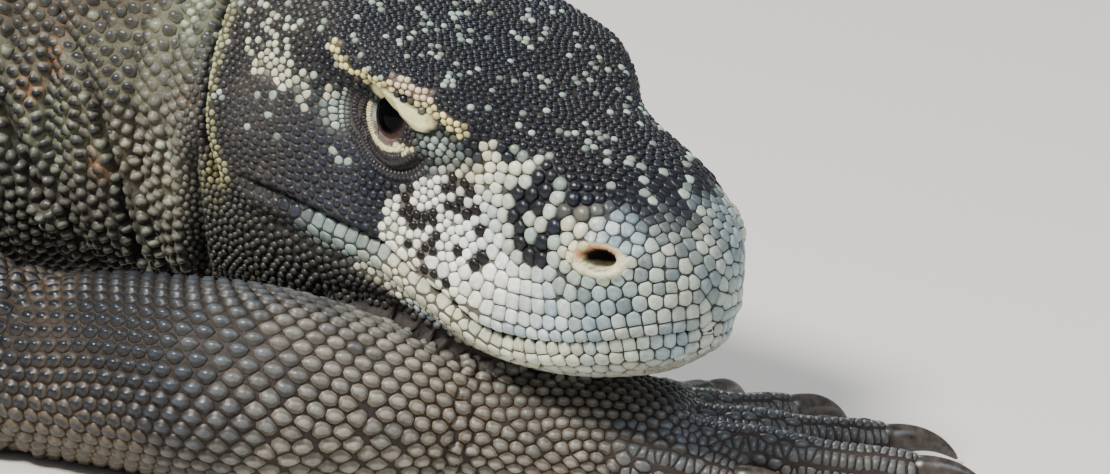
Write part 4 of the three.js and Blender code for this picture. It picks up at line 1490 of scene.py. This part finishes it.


# Looks of a scale: its sides, the groove round it, and its levels from the rim up. A level says how wide its
# ring is, how high, how far it has the scale's own colour, and how bright: painted shade darkens the rim and
# the ring round a boss's foot, over the hide's own dark net lines.
PLATE = (12, 0.2, [(1.0, -0.3, 1, 0), (0.93, 0.60, 1, 0.6), (0.60, 0.92, 1, 0.92)])
BEAD = (8, 0.12, [(1.0, -0.35, 1, 0), (0.88, 0.50, 1, 0.5), (0.50, 0.90, 1, 0.9)])
BOSSED = (10, 0.16, [(1.0, -0.35, 0, 0), (0.91, 0.32, 0, 0.6), (0.64, 0.42, 0, 0.4), (0.50, 0.86, 1, 0.85)])
NECK_BOSS = (10, 0.16, [(1.0, -0.35, 0, 0), (0.89, 0.30, 0, 0.62), (0.70, 0.40, 0.1, 0.35),
                        (0.52, 0.85, 1, 0.85)])
LOW_DOME = (6, 0.4, [(1.0, -0.45, 1, 0), (0.76, 0.74, 1, 0.74)])
DIGIT_DOME = (12, 0.25, LOW_DOME[2])
PATCH_RADIUS = 0.0015
MOST_TRIANGLES = 190000


def add_scales(region, seeds, near, pick, look, height, roundness, kind="", fill=0.68, long=(0, 0)):
    """Makes the picked places' scales as one or more joined pieces."""
    sides, _, levels = look
    at, normal, pitch = (column[pick] for column in seeds)
    reach, way = cell_rims(at, normal, pitch, seeds[0][near[pick]], seeds[2][near[pick]], sides, fill)
    loft, along, around = on_lofts(at)
    tint = scale_tints(at, loft, pitch, kind)
    if kind == "neck":
        skirt = groove_colour(at, loft, tint) * (0.9 + 0.7 * rng.random((len(at), 1)))
    else:
        skirt = mix(srgb(46, 43, 39), srgb(108, 99, 86), step(0.03, 0.22, tint.mean(axis=1))[:, None])
        skirt = layered(skirt, (srgb(116, 102, 82), 0.75 * step(0.0, 0.5, noise(at, 32, 53))))
        skirt = layered(tint * 0.6, (skirt, 0.8 + 0.2 * noise(at, 19, 52)))
    scales = {"at": at, "normal": normal, "pitch": pitch, "reach": reach, "way": way, "tint": tint,
              "skirt": skirt, "ahead": ahead_of(at, normal), "uv": unwrap(loft, along, around),
              "height": np.broadcast_to(height, len(at)), "roundness": np.broadcast_to(roundness, len(at))}
    verts, faces, tint, rise, uv = scale_mesh(scales, look, long)
    each = sides * (2 * len(levels) - 1)
    per_scale = sides * len(levels) + 1
    pieces = -(-len(at) * each // MOST_TRIANGLES)
    bounds = np.linspace(0, len(at), pieces + 1).astype(int)
    for number, (start, end) in enumerate(zip(bounds[:-1], bounds[1:]), 1):
        part = slice(start * per_scale, end * per_scale)
        part_faces = faces[start * each:end * each] - start * per_scale
        piece = new_piece(f"scales_{region}_{number}", verts[part], part_faces, SCALE_FINISH,
                          tint[part], rise[part], uv[part])
        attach(piece, "root")


def plates_and_beads(at, pitch):
    """Heights and roundness of the head's scales: flat plates on the snout and lips, beads elsewhere."""
    x, w, z = folded(at)
    over, lips = mouth_height(x, z)
    plate = step(30, 44, x) * step(-16, -24, z) + step(66, 74, x)
    plate = np.maximum(np.clip(plate, 0, 1), lips * step(-40, -30, x) * step(14, 10, np.abs(over)))
    cheek = side_cheek(x, w, z)
    patch = step(1.1, 0.9, snout_patch(x, z))
    lid = pitch == LID_PITCH
    chin_band = bump(over, -5, 4) * step(62, 40, x) * lips * (w < 62)
    height = laid_over(
        0.36 * pitch,
        (0.14 * pitch + 0.15, plate),
        (0.17 * pitch, cheek),
        (0.42 * pitch, patch))
    height = mix(np.where(lid, 0.36, height), 0.36, chin_band)
    roundness = laid_over(0.5, (0.08, plate), (0.3, patch), (0.05, cheek))
    fill = np.where(lid, 0.95, mix(0.68, 0.95, cheek))
    return np.clip(height, 0.3, 1.7), np.where(lid, 0.12, roundness), fill


head = head_seeds()
head_near = neighbours(head[0], 9)
head_height, head_round, head_fill = plates_and_beads(head[0], head[2])
big = head[2] > 3.0
for region, pick, look in (("face_plates", big, PLATE), ("face_beads", ~big, BEAD)):
    add_scales(region, head, head_near, pick, look, head_height[pick], head_round[pick], "head",
               head_fill[pick])

coat = coat_seeds()
coat_loft = on_lofts(coat[0])[0]
coat_near = neighbours(coat[0], 9)


def add_coat(region, pick, look, share, roundness, **more):
    """Scales behind the head, as high as a share of their pitch."""
    add_scales(region, coat, coat_near, pick, look, share * coat[2][pick], roundness, **more)


on_neck = (coat_loft == 0) & (neck_share(coat[0]) > 0.5)
on_tail = (coat_loft == 0) & (coat[0][:, 0] <= TAIL_X)
add_coat("neck", on_neck, NECK_BOSS, 0.38, 0.2, kind="neck", long=(0.08, 0.14))
add_coat("arm_right", coat_loft == 1, BOSSED, 0.30, 0.1, long=(0.06, 0.2))
on_trunk = (coat_loft == 0) & ~on_tail & ~on_neck
for region, pick in (("trunk", on_trunk), ("tail", on_tail), ("arm_left", coat_loft == 2),
                     ("leg_right", coat_loft == 3), ("leg_left", coat_loft == 4)):
    add_coat(region, pick, LOW_DOME, 0.23, 0.25)
for first, region in ((5, "fingers_right"), (10, "fingers_left"), (15, "toes_right"), (20, "toes_left")):
    add_coat(region, (coat_loft >= first) & (coat_loft < first + 5), DIGIT_DOME, 0.2, 0.05, fill=1.1)


# ---- floor, light and camera ----
FLOOR_HALF = 9000


def add_floor():
    corners = [[-FLOOR_HALF, -FLOOR_HALF, 0], [FLOOR_HALF, -FLOOR_HALF, 0],
               [FLOOR_HALF, FLOOR_HALF, 0], [-FLOOR_HALF, FLOOR_HALF, 0]]
    material, tree, shader = nodes_of("floor_finish")
    grain = add_node(tree, "TexNoise", {"Scale": 6.0, "Detail": 3.0})
    pale = add_ramp(tree, grain, (0, srgb(206, 203, 198)), (1, srgb(214, 211, 206)))
    set_up(tree, shader, {"Base Color": pale, "Roughness": 0.85})
    new_piece("floor", corners, np.array([[0, 1, 2, 3]]), material)


def add_light(name, place, target, size, power, colour):
    data = bpy.data.lights.new(name, "AREA")
    data.shape = "DISK"
    data.size = size
    data.energy = power
    data.color = colour
    light = bpy.data.objects.new(name, data)
    light.location = place
    light.rotation_mode = "QUATERNION"
    light.rotation_quaternion = (Vector(target) - Vector(place)).to_track_quat("-Z", "Y")
    bpy.context.scene.collection.objects.link(light)


add_floor()
world = bpy.data.worlds.new("studio")
world.use_nodes = True
set_up(world.node_tree, world.node_tree.nodes["Background"],
       {"Color": (0.86, 0.90, 0.96, 1), "Strength": 0.38})
bpy.context.scene.world = world
FACE_PLACE = (0.66, -0.11, 0.08)
add_light("key", (-0.35, -1.35, 2.1), FACE_PLACE, 0.55, 125, (1.0, 0.96, 0.90))
add_light("fill", (2.1, -1.3, 2.2), (0.6, -0.1, 0.05), 1.3, 42, (0.88, 0.94, 1.0))
add_light("back", (-1.6, 2.2, 1.9), (-0.3, 0, 0.05), 1.8, 60, (1.0, 0.98, 0.95))

CAMERA_PLACE = (1.2044, -1.7596, 0.5437)
CAMERA_AZIMUTH = math.radians(18)
CAMERA_ELEVATION = math.radians(15)
FOCAL_PIXELS = 6100
IMAGE_WIDTH = 1110
SENSOR_WIDTH = 36
camera_data = bpy.data.cameras.new("camera")
camera_data.sensor_width = SENSOR_WIDTH
camera_data.lens = SENSOR_WIDTH * FOCAL_PIXELS / IMAGE_WIDTH
camera_data.clip_end = 50
camera = bpy.data.objects.new("camera", camera_data)
camera.location = CAMERA_PLACE
camera.rotation_euler = Euler((math.pi / 2 - CAMERA_ELEVATION, 0, CAMERA_AZIMUTH))
bpy.context.scene.collection.objects.link(camera)
bpy.context.scene.camera = camera
